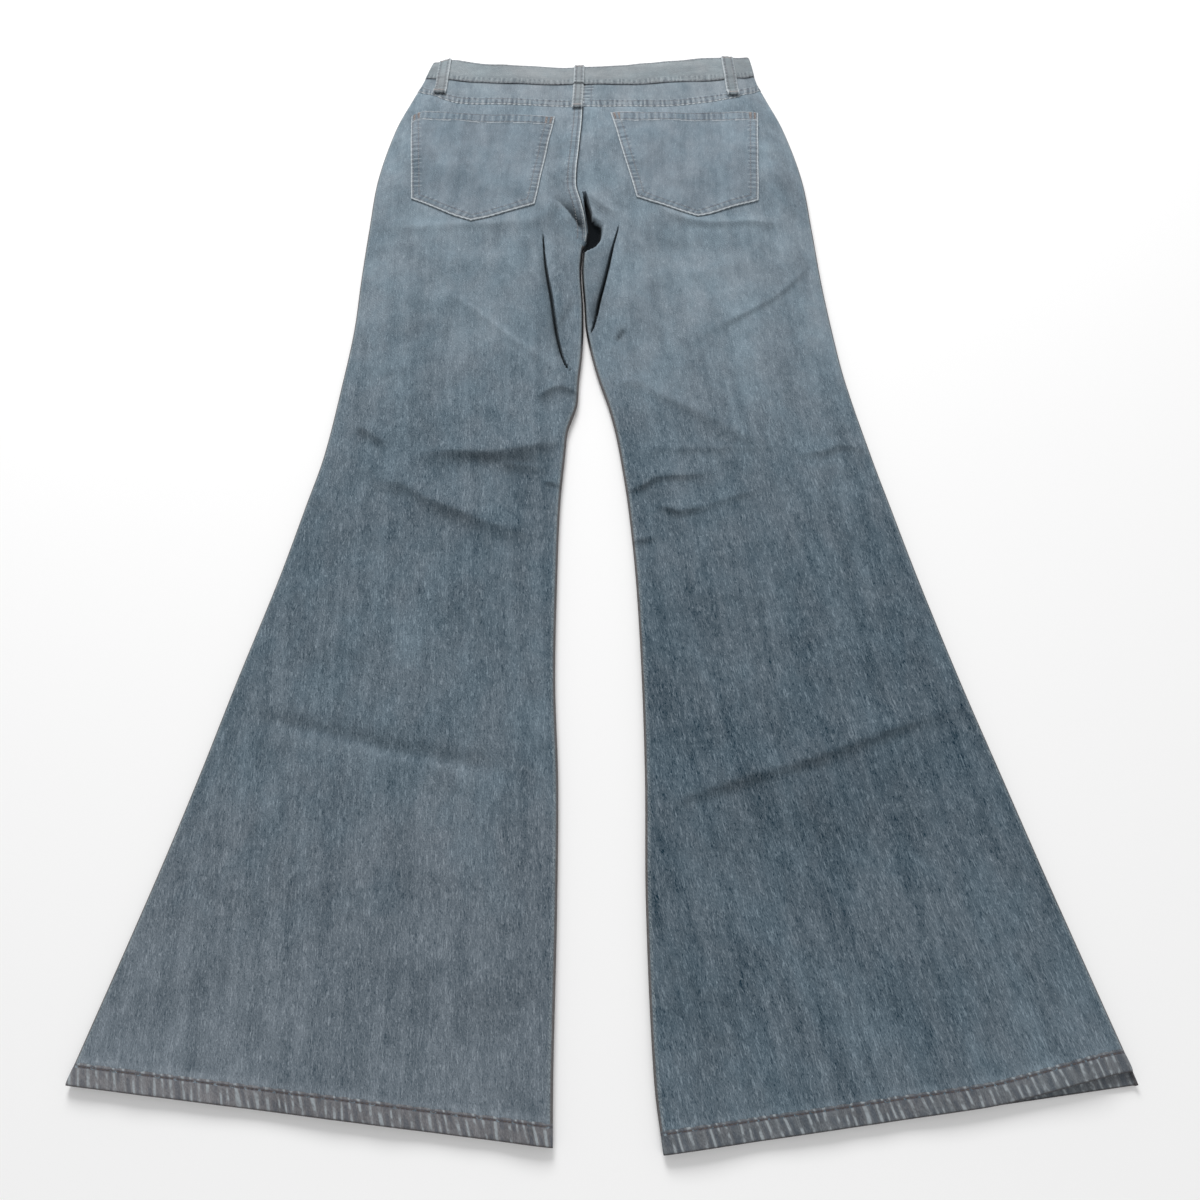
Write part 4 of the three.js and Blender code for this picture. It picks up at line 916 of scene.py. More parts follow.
def back_places(leg, count):
    def places(width, y):
        inset = float(np.clip(slit_inset[leg.name](np.clip(y, 60, 320)), 12, 43))
        half = min(8, 0.45 * inset)
        end = min(12, 0.6 * (inset - half))
        near = np.linspace(end, inset - half, 10)[1:-1]
        inner = np.concatenate([CROTCH_STEPS * end / 12, near, inset + SLIT_STEPS * half / 8])
        middle = np.linspace(ROLL_STEPS[-1], width - inner[-1], count + 2)[1:-1]
        return np.concatenate([ROLL_STEPS, middle, width - inner[::-1]])

    return places


def row_shares(stretches, start, end):
    places = [start]
    for until, step in stretches:
        until = min(until, end)
        count = max(1, round((until - places[-1]) / step))
        places += list(np.linspace(places[-1], until, count + 1)[1:])
        if until == end:
            break
    return (np.array(places) - start) / (end - start)


def seat_seam(leg, inside, y):
    """The felled seam of the seat: the left side laps over the right, sewn down by two rows."""
    seat = smooth(y, 249, 263)
    if leg.inward < 0:
        return -0.25 * np.exp(-((inside / 3) ** 2)) * seat
    raised = 1.0 * (1 - smooth(inside, 10.2, 12.4)) * seat
    sewn = np.exp(-(((inside - 2.5) / 0.9) ** 2)) + np.exp(-(((inside - 8.5) / 0.9) ** 2))
    pucker = 0.16 * np.sin(2 * math.pi * y / 6.3 + 1.2 * np.sin(y / 17))
    return raised + (pucker * (inside < 11) - 0.3 * sewn) * seat


NO_SEAM = 60.0


def back_marks(leg, x, y):
    out, inside = edge_distances(leg, x, y)
    _, dark, rub_and_highlight = crease_form(leg, x, y)
    # Painted shade: the dark of the creases, and a near-black line in the closed gap between the thighs.
    painted_gap_shade = 0.92 * smooth(y, 104, 122) * (1 - smooth(y, 238, 246)) * (1 - smooth(inside, 0.9, 2.3))
    shade = np.clip(np.maximum(dark, painted_gap_shade), 0, 0.95)
    above_hem = y - back_hem_line(leg, HEM_HEIGHT)((x - leg.outer(y)) / (leg.inner(y) - leg.outer(y)))
    puffs = 0.6 + 0.4 * np.sin(x / 1.5 + 2 * np.sin(x / 9))
    rub_and_highlight = rub_and_highlight + 0.34 * puffs * np.exp(-(((above_hem - 3) / 2) ** 2))
    edge = np.where(y > 250, inside, NO_SEAM)
    if leg.inward < 0:
        edge = np.full(x.shape, NO_SEAM)
        # Painted shadow: a dark line on the right panel where the left panel's edge laps over it at the
        # seat seam.
        lap_shadow = 0.8 * np.exp(-((inside / 1.3) ** 2)) * smooth(y, 256, 270)
        # Painted shade over the inner strip of cloth between the inseam edge and the slit.
        tucked_fold_shade = smooth(y, 128, 168) * (1 - smooth(y, 226, 250)) * (1 - smooth(inside, 15, 27))
        shade = np.clip(shade + 0.2 * tucked_fold_shade, 0, 0.95)
        # Painted shade: the pit is painted near black, on top of the other painted shade.
        shade = np.maximum(shade, np.maximum(lap_shadow, smooth(pit_share(x, y), 0.2, 0.6)))
        ledge, _, _, _ = near_path(np.array(PIT_LEDGE, float), x, y)
        rub_and_highlight = rub_and_highlight + 0.5 * np.exp(-((ledge / 1.9) ** 2)) * smooth(y, 212, 240)
    marks = marks_on(leg, x, y, edge, y, rub_and_highlight, shade)
    marks["side"] = np.minimum(out, np.where(y > 246, NO_SEAM, inside)) * MM
    return marks


def make_back_panel(leg):
    lower = back_hem_line(leg, HEM_HEIGHT - 1.5)
    upper = line_across(lambda x: waist["yoke_seam"](x) - SEAM_GAP / 2, leg.outer, leg.inner)
    shares = row_shares(BACK_ROWS, lower(1.0), upper(1.0))
    x, y = spread_rows(lower, upper, shares, leg.outer, leg.inner, back_places(leg, 72))
    point, facing, _ = back_skin(leg, x, y)
    _, inside = edge_distances(leg, x, y)
    under_yoke = smooth(y - waist["yoke_seam"](x), -8.5, -5.5)
    proud = seat_seam(leg, inside, y) - 0.55 * under_yoke
    piece = lay_cloth(f"back_panel_{leg.name}", point + facing * proud[..., None], facing,
                      grain_on(leg, x, y), back_marks(leg, x, y), DENIM)
    finish_cloth(piece, leg_denim, f"back_{leg.name}")
    return piece


back_panels = [make_back_panel(leg) for leg in (left, right)]

# %% [markdown]
# ## The yoke
# The yoke is the curved strip between the waistband and the back panels. A felled seam joins it below:
# the yoke's edge laps over the panel, and two rows of stitches hold it, with puckers between them.

# %% Yokes
YOKE_LAP = 5.5
YOKE_CLEAR = 0.3
YOKE_THICK = 0.7


def pucker_wave(run, pitch, seed):
    bent = run + 0.45 * pitch * np.sin(run / pitch * 0.61 + seed) + 0.3 * pitch * np.sin(run / 23 + seed)
    return np.sin(2 * math.pi * bent / pitch)


def make_yoke(leg):
    lower = line_across(lambda x: waist["yoke_seam"](x) - YOKE_LAP, leg.outer, leg.inner)
    upper = line_across(lambda x: waist["back_bottom"](x) + 1.5, leg.outer, leg.inner)
    shares = np.concatenate([np.linspace(0, 0.4, 17)[:-1], np.linspace(0.4, 0.9, 8)[:-1],
                             np.linspace(0.9, 1, 7)])
    x, y = spread_rows(lower, upper, shares, leg.outer, leg.inner, back_places(leg, 110))
    point, facing, _ = back_skin(leg, x, y)
    _, inside = edge_distances(leg, x, y)
    above = y - waist["yoke_seam"](x) + YOKE_LAP
    band = 1 - smooth(above, 10.5, 13)
    sewn = np.exp(-(((above - 1.6) / 0.8) ** 2)) + np.exp(-(((above - 9) / 0.8) ** 2))
    proud = YOKE_CLEAR * band + band * (0.22 * pucker_wave(x, 5.2, leg.inward) - 0.3 * sewn)
    proud = proud - 0.25 * (1 - smooth(above, 0, 1))
    proud = proud - 0.25 * np.exp(-(((above - 13) / 1.2) ** 2))
    proud = proud + seat_seam(leg, inside, y) * (1 - 0.5 * band)
    point = point + facing * proud[..., None]
    below_band = waist["back_bottom"](x) - y
    # Painted shadow: an uneven dark line on the yoke just below the waistband's lower edge.
    shade = (0.8 + 0.1 * np.sin(x / 9) + 0.08 * np.sin(x / 4.3)) * (1 - smooth(below_band, 0.8, 2.4))
    marks = marks_on(leg, x, y, np.minimum(above, inside), np.where(above < inside, x, y), 0.04, shade)
    piece = lay_cloth(f"yoke_strip_{leg.name}", point, facing, grain_on(leg, x, y), marks, YOKE_THICK)
    finish_cloth(piece, seat_denim, f"yoke_{leg.name}")
    return piece


yokes = [make_yoke(leg) for leg in (left, right)]

# %% [markdown]
# ## The waistband
# One strip runs right round the waist. Its grid goes from the buttonhole end on the front, round the
# left side, across the back, round the right side and back to the underlap, so it is one piece of cloth
# as the real one is. Small puckers stand above its lower seam.

# %% Waistband
FRONT_STEPS = np.array([0, 0.3, 0.8, 1.5, 2.3, 3.2])


def front_places(count):
    def places(width, y):
        return np.concatenate([FRONT_STEPS, np.linspace(FRONT_STEPS[-1], width, count + 1)[1:]])

    return places


def band_relief(level, run):
    """Puckers above the lower seam, the row of stitches at each edge, and a rounded top fold."""
    up = level * 33
    pucker = pucker_wave(run, 4.1, 0.7) * (1 - smooth(up, 4, 13))
    sewn = np.exp(-(((up - 2.2) / 0.9) ** 2)) + np.exp(-(((up - 30.4) / 0.9) ** 2))
    ends = (1 - smooth(up, 0, 1.2)) + smooth(up, 31.8, 33)
    return 0.22 * pucker - 0.25 * sewn - 0.5 * ends


def make_waistband():
    levels = np.concatenate([[0, 0.02, 0.05], np.linspace(0.09, 0.91, 16), [0.95, 0.98, 1]])
    centre = float(centre_x(BUTTON_Y))
    rows = {key: [] for key in ("point", "facing", "proud", "run", "x", "y", "wash")}
    for level in levels:
        back_rule = lambda x: mix(waist["back_bottom"](x), waist["back_top"](x), level)
        front_rule = lambda x: mix(waist["front_bottom"](x), waist["front_top"](x), level)
        parts = []
        for leg, end in ((left, centre + FLY_LAP), (right, centre - UNDERLAP)):
            line = line_across(front_rule, leg.outer, lambda y: end)
            x, y = spread_rows(line, line, [0], leg.outer, lambda y: end, front_places(70))
            point, facing, _ = front_skin(leg, x, y)
            if leg is right:
                over = 1 - smooth(x, centre + FLY_LAP + 2, centre + FLY_LAP + 30)
                point[..., 2] += over * (BAND_THICK - DENIM)
            parts.append([point[0], facing[0], 0 * x[0], x[0], y[0], wash_and_light_on(leg, x, y)[0]])
        for leg in (left, right):
            line = line_across(back_rule, leg.outer, leg.inner)
            x, y = spread_rows(line, line, [0], leg.outer, leg.inner, back_places(leg, 110))
            point, facing, sine = back_skin(leg, x, y)
            parts.append([point[0], facing[0], BAND_PROUD * sine[0], x[0], y[0], wash_and_light_on(leg, x, y)[0]])
        lap, under, back_left, back_right = parts
        order = (lap, True), (back_left, False), (back_right, True), (under, False)
        joined = [np.concatenate([part[k][::-1] if turned else part[k] for part, turned in order])
                  for k in range(6)]
        run = np.concatenate([[0], np.cumsum(np.linalg.norm(np.diff(joined[0], axis=0), axis=1))])
        for key, value in zip(("point", "facing", "proud", "x", "y", "wash"), joined):
            rows[key].append(value)
        rows["run"].append(run)
    table = {key: np.array(value) for key, value in rows.items()}
    run = table["run"].mean(axis=0)[None, :] + 0 * table["run"]
    level = levels[:, None] + 0 * run
    proud = table["proud"] + band_relief(level, run)
    point = table["point"] + table["facing"] * proud[..., None]
    # Painted shadow: `edge` is 2 mm on the band's lower edge, where the material's sunk row lies, so a
    # dark line runs along it.
    edge = np.minimum(level * 33 + 2, 3.5 * (33 - level * 33))
    marks = {"wash": table["wash"] + 0.16, "shade": 0 * run, "edge": edge * MM, "run": run * MM}
    grain = np.stack([level * 33, run], axis=-1)
    piece = lay_cloth("waistband_strip", point, table["facing"], grain, marks, BAND_THICK)
    finish_cloth(piece, band_denim, "waistband")
    return piece


waistband = make_waistband()

# %% [markdown]
# ## The back pockets
# A patch pocket is a five-cornered piece folded in all round and sewn on. The grid's bottom row runs
# along the two slanting lower edges with the tip between them, so no face is cut. A deeper band at the
# top is the pocket's own hem. Distance from the outline gives the folded edge, its puckers and its wear.

# %% Back pockets
pockets = {
    "left": dict(top_outer=(-207.5, 433), top_inner=(-50.4, 424), bottom_inner=(-68.4, 291),
                 tip=(-132, 266), bottom_outer=(-195.4, 298)),
    "right": dict(top_outer=(170.4, 431), top_inner=(9.9, 431), bottom_inner=(36, 300.6),
                  tip=(97.4, 272.5), bottom_outer=(161.2, 297)),
}
POCKET_HEM = 15
POCKET_BAND = 9.5


def between(start, end, share):
    start, end = np.array(start, float), np.array(end, float)
    return start + (end - start) * np.asarray(share)[..., None]


def pocket_relief(edge, run, below_top):
    """How far the pocket stands proud: folded edges, sewn rows, puckers and the top hem."""
    folded = 1 - smooth(edge, POCKET_BAND - 1, POCKET_BAND + 2)
    hem = 1 - smooth(below_top, POCKET_HEM - 1, POCKET_HEM + 1.6)
    raised = 0.45 * np.maximum(folded, hem)
    sewn = sum(np.exp(-(((edge - place) / 0.8) ** 2)) for place in (2.2, 8.2))
    sewn_top = sum(np.exp(-(((below_top - place) / 0.8) ** 2)) for place in (2.4, 12.6))
    pucker = 0.2 * pucker_wave(run, 5.4, 1.1) * np.maximum(folded, hem)
    rounded = 0.55 * (1 - smooth(edge, 0, 1.4))
    return raised + pucker - 0.28 * np.maximum(sewn, sewn_top) - rounded


def make_pocket(leg):
    corner = pockets[leg.name]
    columns, rows = 130, 120
    across = np.linspace(0, 1, columns)
    top = between(corner["top_outer"], corner["top_inner"], across)
    top[:, 1] -= 1.6 * np.sin(math.pi * across)
    tip_at = np.linalg.norm(np.subtract(corner["tip"], corner["bottom_outer"]))
    tip_share = tip_at / (tip_at + np.linalg.norm(np.subtract(corner["tip"], corner["bottom_inner"])))
    down = between(corner["bottom_outer"], corner["tip"], np.clip(across / tip_share, 0, 1))
    past_tip = np.clip((across - tip_share) / (1 - tip_share), 0, 1)
    back_up = between(corner["tip"], corner["bottom_inner"], past_tip)
    bottom = np.where((across < tip_share)[:, None], down, back_up)
    up = np.linspace(0, 1, rows)[:, None, None]
    place = bottom[None] * (1 - up) + top[None] * up
    x, y = place[..., 0], place[..., 1]
    outline = [corner[key] for key in ("top_outer", "bottom_outer", "tip", "bottom_inner", "top_inner")]
    far, _, run, _ = near_path(np.array(outline, float), x, y)
    top_path = np.array([corner["top_outer"], corner["top_inner"]], float)
    below_top, _, top_run, _ = near_path(top_path, x, y)
    edge = np.minimum(far, below_top)
    at_top = below_top < POCKET_HEM
    run = np.where(at_top & (far > 5), top_run, run)
    proud = SEAM_GAP + DENIM + pocket_relief(edge, run, below_top)
    point, facing, _ = back_skin(leg, x, y)
    point = point + facing * proud[..., None]
    worn_edge = np.where(at_top, np.minimum(edge, np.abs(below_top - POCKET_HEM + 0.6) + 0.5), edge)
    grain = np.stack([x - 0.05 * y + 900, y + 700], axis=-1)
    marks = marks_on(leg, x, y, worn_edge, run, 0.06 if leg is right else -0.02)
    piece = lay_cloth(f"patch_pocket_{leg.name}", point, facing, grain, marks, DENIM)
    finish_cloth(piece, pocket_denim, f"back_pocket_{leg.name}")
    return piece


back_pockets = [make_pocket(leg) for leg in (left, right)]

# %% [markdown]
# ## The hems
# A hem is the leg's own cloth folded up twice and sewn, so it is a ring right round the foot of the leg.
# Washing twists it, and it shows as slanting ridges, which tailors call roping. The grid's first and last
# columns lie on each other, and merging doubles closes the ring.

# %% Hems
HEM_ROW = 11.4


def both_edges(count):
    def places(width, y):
        middle = np.linspace(FRONT_STEPS[-1], width - FRONT_STEPS[-1], count + 2)[1:-1]
        return np.concatenate([FRONT_STEPS, middle, width - FRONT_STEPS[::-1]])

    return places


def rope(run, up, pitch, lean, seed):
    bent = run + lean * up + 0.5 * pitch * np.sin(run / pitch * 0.37 + seed) + 1.4 * np.sin(run / 9 + seed)
    wave = np.sin(2 * math.pi * bent / pitch)
    return wave * smooth(up, 0.2, 3) * (1 - 0.6 * smooth(up, 10, 11.4))


def make_hem(leg, pitch, lean, seed):
    levels = np.array([0, 0.4, 1.1, 2, 3, 4.2, 5.4, 6.6, 7.8, 9, 10.2, 11, 11.5, 12.1, 12.8, 13.4])
    rows = []
    for above in levels:
        runs = []
        for line, skin, places in (
            (hem_line(leg, above), front_skin, both_edges(110)),
            (back_hem_line(leg, above), back_skin, back_places(leg, 230)),
        ):
            x, y = spread_rows(line, line, [0], leg.outer, leg.inner, places)
            point, facing, sine = skin(leg, x, y)
            up = facing[..., 2] > 0
            proud = np.where(up, HEM_PROUD * sine, 0)
            relief = 0.42 * rope(x, above, pitch, lean, seed) * np.where(up, sine, 0)
            groove = 0.35 * np.exp(-(((above - HEM_ROW) / 0.7) ** 2)) + 0.55 * (1 - smooth(above, 0, 1.2))
            groove = groove + 0.35 * smooth(above, 12, 13.4)
            proud = proud + relief - groove * np.where(up, sine, 0.15)
            runs.append((point[0] + facing[0] * proud[0][:, None], facing[0], x[0], y[0]))
        front, back = runs
        rows.append([np.concatenate([front[k], back[k][::-1], front[k][:1]]) for k in range(4)])
    point, facing, x, y = (np.array([row[k] for row in rows]) for k in range(4))
    up = levels[:, None] + 0 * x
    marks = marks_on(leg, x, y, up + 0.5, x, 0.06)
    grain = grain_on(leg, x, y)
    piece = lay_cloth(f"hem_fold_{leg.name}", point, facing, grain, marks, HEM_THICK, closed=True)
    finish_cloth(piece, hem_denim, f"hem_{leg.name}")
    return piece


hem_pieces = [make_hem(left, 11.5, 0.1, 0.4), make_hem(right, 9, 0.5, 2.2)]

# %% [markdown]
# ## The belt loops
# A belt loop is a strip of denim, folded so that its edges stand up and its middle carries a ridge, and
# sewn down at both ends. It is laid over the waistband, the yoke and the top of the panel, so it drops
# where the waistband ends, and its folded lower end is thicker.

# %% Belt loops on the back
back_loops = {
    "centre_back": ((-24.6, 511.5), (-26.4, 437.5), 5.8),
    "back_left": ((-177, 526), (-179, 463), 7),
    "back_right": ((143, 530), (146, 460.5), 6.7),
}
LOOP_THICK = 1.8
LOOP_COLUMNS = np.array([-7, -6.7, -6.2, -5.4, -4.4, -3.2, -2, -1, 0, 1, 2, 3.2, 4.4, 5.4, 6.2, 6.7, 7])


def loop_ground(x, y):
    """What a belt loop lies on: the back skin, with the waistband's thickness above its lower seam."""
    on_left = x < centre_x(y)
    points = [back_skin(leg, x, y) for leg in (left, right)]
    point = np.where(on_left[..., None], points[0][0], points[1][0])
    facing = np.where(on_left[..., None], points[0][1], points[1][1])
    band = smooth(y - waist["back_bottom"](x), -2.5, 1)
    seam = 1 - smooth(y - waist["yoke_seam"](x), 5, 9)
    return point, facing, 0.2 + BAND_PROUD * band + 1.1 * seam * (1 - band)


def make_back_loop(name, top, bottom, half):
    way = np.subtract(top, bottom)
    length = np.linalg.norm(way)
    way = way / length
    aside = np.array([way[1], -way[0]])
    across = LOOP_COLUMNS * half / 7
    ends = np.array([0, 0.4, 1])
    along = np.concatenate([ends, np.linspace(1.8, length - 1.8, 64), length - ends[::-1]])
    u, v = np.meshgrid(across, along)
    x = bottom[0] + u * aside[0] + v * way[0]
    y = bottom[1] + u * aside[1] + v * way[1]
    point, facing, ground = loop_ground(x, y)
    edge = half - np.abs(u)
    raised = 0.5 * np.exp(-(((edge - 1.6) / 1.3) ** 2)) + 0.35 * np.exp(-((u / 1.4) ** 2))
    rounded = 0.9 * (1 - smooth(edge, 0, 1.1)) + 0.8 * (1 - smooth(np.minimum(v, length - v), 0, 1.2))
    fold = 0.6 * (1 - smooth(v, 7, 9.5)) + 0.2 * smooth(v, length - 7, length - 5)
    dip = 0.5 * np.exp(-(((v - 11) / 1.6) ** 2))
    proud = ground + LOOP_THICK + raised - rounded + fold - dip + 0.08 * pucker_wave(v, 5, u[0, 0])
    point = point + facing * proud[..., None]
    grain = np.stack([u + 40, v + 10 * length], axis=-1)
    # On the centre loop: a painted shadow across it where it drops off the waistband's lower edge, and a
    # painted highlight on the bend just above it. worn is the loop's tone with that highlight.
    past_band = y - waist["back_bottom"](x)
    pressed = float(name == "centre_back")
    painted_dip_shadow = 0.85 * pressed * np.exp(-(((past_band + 1.2) / 1.3) ** 2))
    worn = 0.9 + 0.5 * pressed * np.exp(-(((past_band - 1.8) / 1.2) ** 2))
    marks = {"wash": worn, "shade": painted_dip_shadow, "edge": edge * MM, "run": v * MM}
    piece = lay_cloth(f"loop_{name}", point, facing, grain, marks, LOOP_THICK)
    finish_cloth(piece, loop_denim, f"belt_loop_{name}")
    return piece


loops = [make_back_loop(name, *ends) for name, ends in back_loops.items()]

# %% [markdown]
# ## The hidden front
# The front lies on the floor, and only its edges show. It is finished plainly: two panels that meet at
# the fly, with a curved pocket mouth in each upper corner and the pocket facing behind it, two belt
# loops and the button.

# %% Front panels
def mouth_foot(leg):
    return float(waist["front_bottom"](leg.outer(MOUTH_TOP_Y)) - MOUTH_DEPTH)


def mouth_edge(leg):
    foot = mouth_foot(leg)

    def edge(y):
        up = np.clip((y - foot) / MOUTH_DEPTH, 0, 1)
        return leg.outer(y) + leg.inward * MOUTH_WIDTH * np.sqrt(1 - (1 - up) ** 2)

    return edge


def front_inner(leg):
    lap = FLY_LAP if leg is left else 0
    return lambda y: leg.inner(y) + lap * smooth(y, FLY_END_Y - 8, FLY_END_Y + 6)


def make_front_panel(leg):
    outer, inner = mouth_edge(leg), front_inner(leg)
    lower = hem_line(leg, HEM_HEIGHT - 1.5)
    upper = line_across(lambda x: waist["front_bottom"](x) + 0 * x - SEAM_GAP, outer, inner)
    foot = (mouth_foot(leg) - lower(0.0)) / (upper(0.0) - lower(0.0))
    above = mix(foot, 1, np.array([0.003, 0.01, 0.03, 0.06, 0.12, 0.2, 0.3, 0.42, 0.55, 0.7, 0.85, 1]))
    shares = np.concatenate([np.linspace(0, foot, 130), above])

    x, y = spread_rows(lower, upper, shares, outer, inner, both_edges(48))
    curled = 1 - smooth(y, mouth_foot(leg) - 6, mouth_foot(leg))
    point, facing, _ = front_skin(leg, x, y, curled)
    out, inside = edge_distances(leg, x, y)
    # Painted shade on the inner edges of the front panels, seen down the gap between the legs.
    painted_gap_shade = 0.9 * smooth(y, 40, 90) * (y < 262) * (1 - smooth(inside, 4, 8))
    marks = marks_on(leg, x, y, NO_SEAM + 0 * x, y, shade=painted_gap_shade)
    marks["side"] = np.minimum(out, np.where(y > 246, NO_SEAM, inside)) * MM
    piece = lay_cloth(f"front_panel_{leg.name}", point, facing, grain_on(leg, x, y), marks, DENIM)
    finish_cloth(piece, leg_denim, f"front_{leg.name}")
    return piece


front_panels = [make_front_panel(leg) for leg in (left, right)]


# %% Pocket facings and front belt loops
def make_facing(leg):
    inner = lambda y: leg.outer(y) + leg.inward * (MOUTH_WIDTH + 12)
    lower = lambda t: mouth_foot(leg) - 12 + 0 * t
    upper = line_across(lambda x: waist["front_bottom"](x) - 2 * SEAM_GAP, leg.outer, inner)
    x, y = spread_rows(lower, upper, np.linspace(0, 1, 24), leg.outer, inner, front_places(26))
    point, facing, _ = front_skin(leg, x, y)
    point = point - facing * (DENIM + SEAM_GAP)
    out, _ = edge_distances(leg, x, y)
    piece = lay_cloth(f"mouth_facing_{leg.name}", point, facing, grain_on(leg, x, y),
                      marks_on(leg, x, y, out + 12, y, 0.05), DENIM)
    finish_cloth(piece, seat_denim, f"pocket_facing_{leg.name}")
    return piece


facings = [make_facing(leg) for leg in (left, right)]


def make_front_loop(name, middle):
    top = float(waist["front_top"](middle))
    across = np.array([-7, -6.7, -6.2, -5.4, -4.2, -2.6, 0, 2.6, 4.2, 5.4, 6.2, 6.7, 7])
    u, v = np.meshgrid(across, np.linspace(0, 46, 40))
    edge = 7 - np.abs(u)
    depth = 0.35 * (1 - smooth(edge, 0, 1)) + 0.12 * np.exp(-(((edge - 3) / 1.2) ** 2))
    point = np.stack([middle + u, top - 46 + v, depth], axis=-1)
    facing = np.zeros(point.shape) - [0, 0, 1]
    marks = {"wash": np.full(u.shape, 0.8), "shade": 0 * u, "edge": edge * MM, "run": v * MM}
    piece = lay_cloth(f"loop_front_{name}", point, facing, np.stack([u + 40, v], axis=-1), marks, 0.8)
    finish_cloth(piece, loop_denim, f"belt_loop_front_{name}")
    return piece


front_loops = [make_front_loop("left", -112), make_front_loop("right", 74)]

# %% [markdown]
# ## The button
# The shank button lies face down under the buttonhole end. Its cap is a cylinder with an inset face,
# pressed in a little, and bevelled edges. The shank is a thin post up to the waistband.

# %% Waist button
def select_faces(piece, test):
    """Selects in edit mode the faces whose centre and normal pass the test."""
    pick(piece)
    bpy.ops.object.mode_set(mode="EDIT")
    bpy.ops.mesh.select_mode(type="FACE")
    bpy.ops.mesh.select_all(action="DESELECT")
    bpy.ops.object.mode_set(mode="OBJECT")
    for face in piece.data.polygons:
        face.select = bool(test(face.center, face.normal))
    bpy.ops.object.mode_set(mode="EDIT")


def make_button():
    x, y = float(centre_x(BUTTON_Y)) - FLY_LAP, BUTTON_Y
    bpy.ops.object.select_all(action="DESELECT")
    bpy.ops.mesh.primitive_cylinder_add(vertices=64, radius=8.5 * MM, depth=2.3 * MM)
    button = bpy.context.object
    button.name = button.data.name = "shank_button"
    button.location = (x * MM, y * MM, 1.15 * MM)
    bpy.ops.object.transform_apply(location=True, rotation=True, scale=True)
    select_faces(button, lambda centre, normal: normal.z < -0.9)
    bpy.ops.mesh.inset(thickness=1.2 * MM, depth=0)
    bpy.ops.mesh.inset(thickness=0.5 * MM, depth=-0.35 * MM)
    bpy.ops.mesh.inset(thickness=3 * MM, depth=0.1 * MM)
    bpy.ops.object.mode_set(mode="OBJECT")
    select_faces(button, lambda centre, normal: normal.z > 0.9)
    bpy.ops.mesh.inset(thickness=5.4 * MM, depth=0.15 * MM)
    bpy.ops.mesh.extrude_region_move(TRANSFORM_OT_translate={"value": (0, 0, 0.5 * MM)})
    bpy.ops.object.mode_set(mode="OBJECT")
    apply_modifier(button, "Worn edges", "BEVEL", width=0.25 * MM, segments=3,
                   angle_limit=math.radians(35))
    bpy.ops.object.shade_smooth_by_angle(angle=math.radians(40))
    return button


button = make_button()
steel = bpy.data.materials.new("Dull steel")
steel.use_nodes = True
steel_shader = steel.node_tree.nodes["Principled BSDF"]
place = node(steel.node_tree, "ShaderNodeTexCoord").outputs["Object"]
brushed = node(steel.node_tree, "ShaderNodeTexNoise", None, Vector=place, Scale=1400.0, Detail=3.0)
steel_colour = blend_colour(steel.node_tree, brushed.outputs[0], srgb(150, 148, 143), srgb(196, 194, 188))
steel.node_tree.links.new(steel_colour, steel_shader.inputs["Base Color"])
steel.node_tree.links.new(ramp(steel.node_tree, brushed.outputs[0], 0.3, 0.7, 0.3, 0.48),
                          steel_shader.inputs["Roughness"])
steel_shader.inputs["Metallic"].default_value = 1
button.data.materials.append(steel)
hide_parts("waist_button")
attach(button, "root")
print("waist button:", len(button.data.polygons), "faces")

# %% [markdown]
# ## Topstitching
# Jeans are sewn with thick thread in rows of long stitches. One stitch is modelled once: a small ball
# with few faces, stretched to the length of a stitch. It is then copied along each row, and a ray cast
# down on the finished cloth finds where each copy lies and how it tilts. A bartack is a short, dense
# patch of the same stitches, where a pocket's corner or a belt loop's end has to be strong.

# %% One stitch
bpy.ops.object.select_all(action="DESELECT")
bpy.ops.mesh.primitive_uv_sphere_add(segments=6, ring_count=4, radius=1)
one_stitch = bpy.context.object
edit_all(one_stitch, lambda: bpy.ops.transform.rotate(value=math.pi / 2, orient_axis="X",
                                                       center_override=(0, 0, 0)))
stitch_points = np.array([vertex.co for vertex in one_stitch.data.vertices])
stitch_faces = [tuple(face.vertices) for face in one_stitch.data.polygons]
bpy.data.objects.remove(one_stitch)
print("faces in a stitch:", len(stitch_faces))


# %% Rows of stitches
def cast_on(pieces, x, y, from_above=True):
    """The topmost place of the pieces over x, y (millimetres), and the way the cloth faces there."""
    sign = 1 if from_above else -1
    best = None
    for piece in pieces:
        hit, place, normal, _ = piece.ray_cast((x * MM, y * MM, sign * 0.05), (0, 0, -sign))
        if hit and (best is None or sign * (place.z - best[0][2]) > 0):
            best = (np.array(place), np.array(normal) * sign)
    return best


def stitch_row(path, pitch=3.4, start=0.5):
    """Middles and directions of the stitches along a path."""
    path = np.array(path, float)
    run = np.concatenate([[0], np.cumsum(np.hypot(*np.diff(path, axis=0).T))])
    middles = np.arange(start * pitch, run[-1], pitch)
    place = np.stack([np.interp(middles, run, path[:, k]) for k in (0, 1)], axis=-1)
    ahead = np.stack([np.interp(middles + 0.5, run, path[:, k]) for k in (0, 1)], axis=-1)
    behind = np.stack([np.interp(middles - 0.5, run, path[:, k]) for k in (0, 1)], axis=-1)
    return list(zip(place, ahead - behind))


def bartack(middle, way, length, width, pitch=0.75):
    """A dense patch: short stitches side by side across the way, from end to end."""
    way = np.array(way, float) / np.hypot(*way)
    steps = np.arange(-length / 2, length / 2 + 0.01, pitch)
    return [(np.array(middle) + way * step, np.array([-way[1], way[0]]) * width) for step in steps]


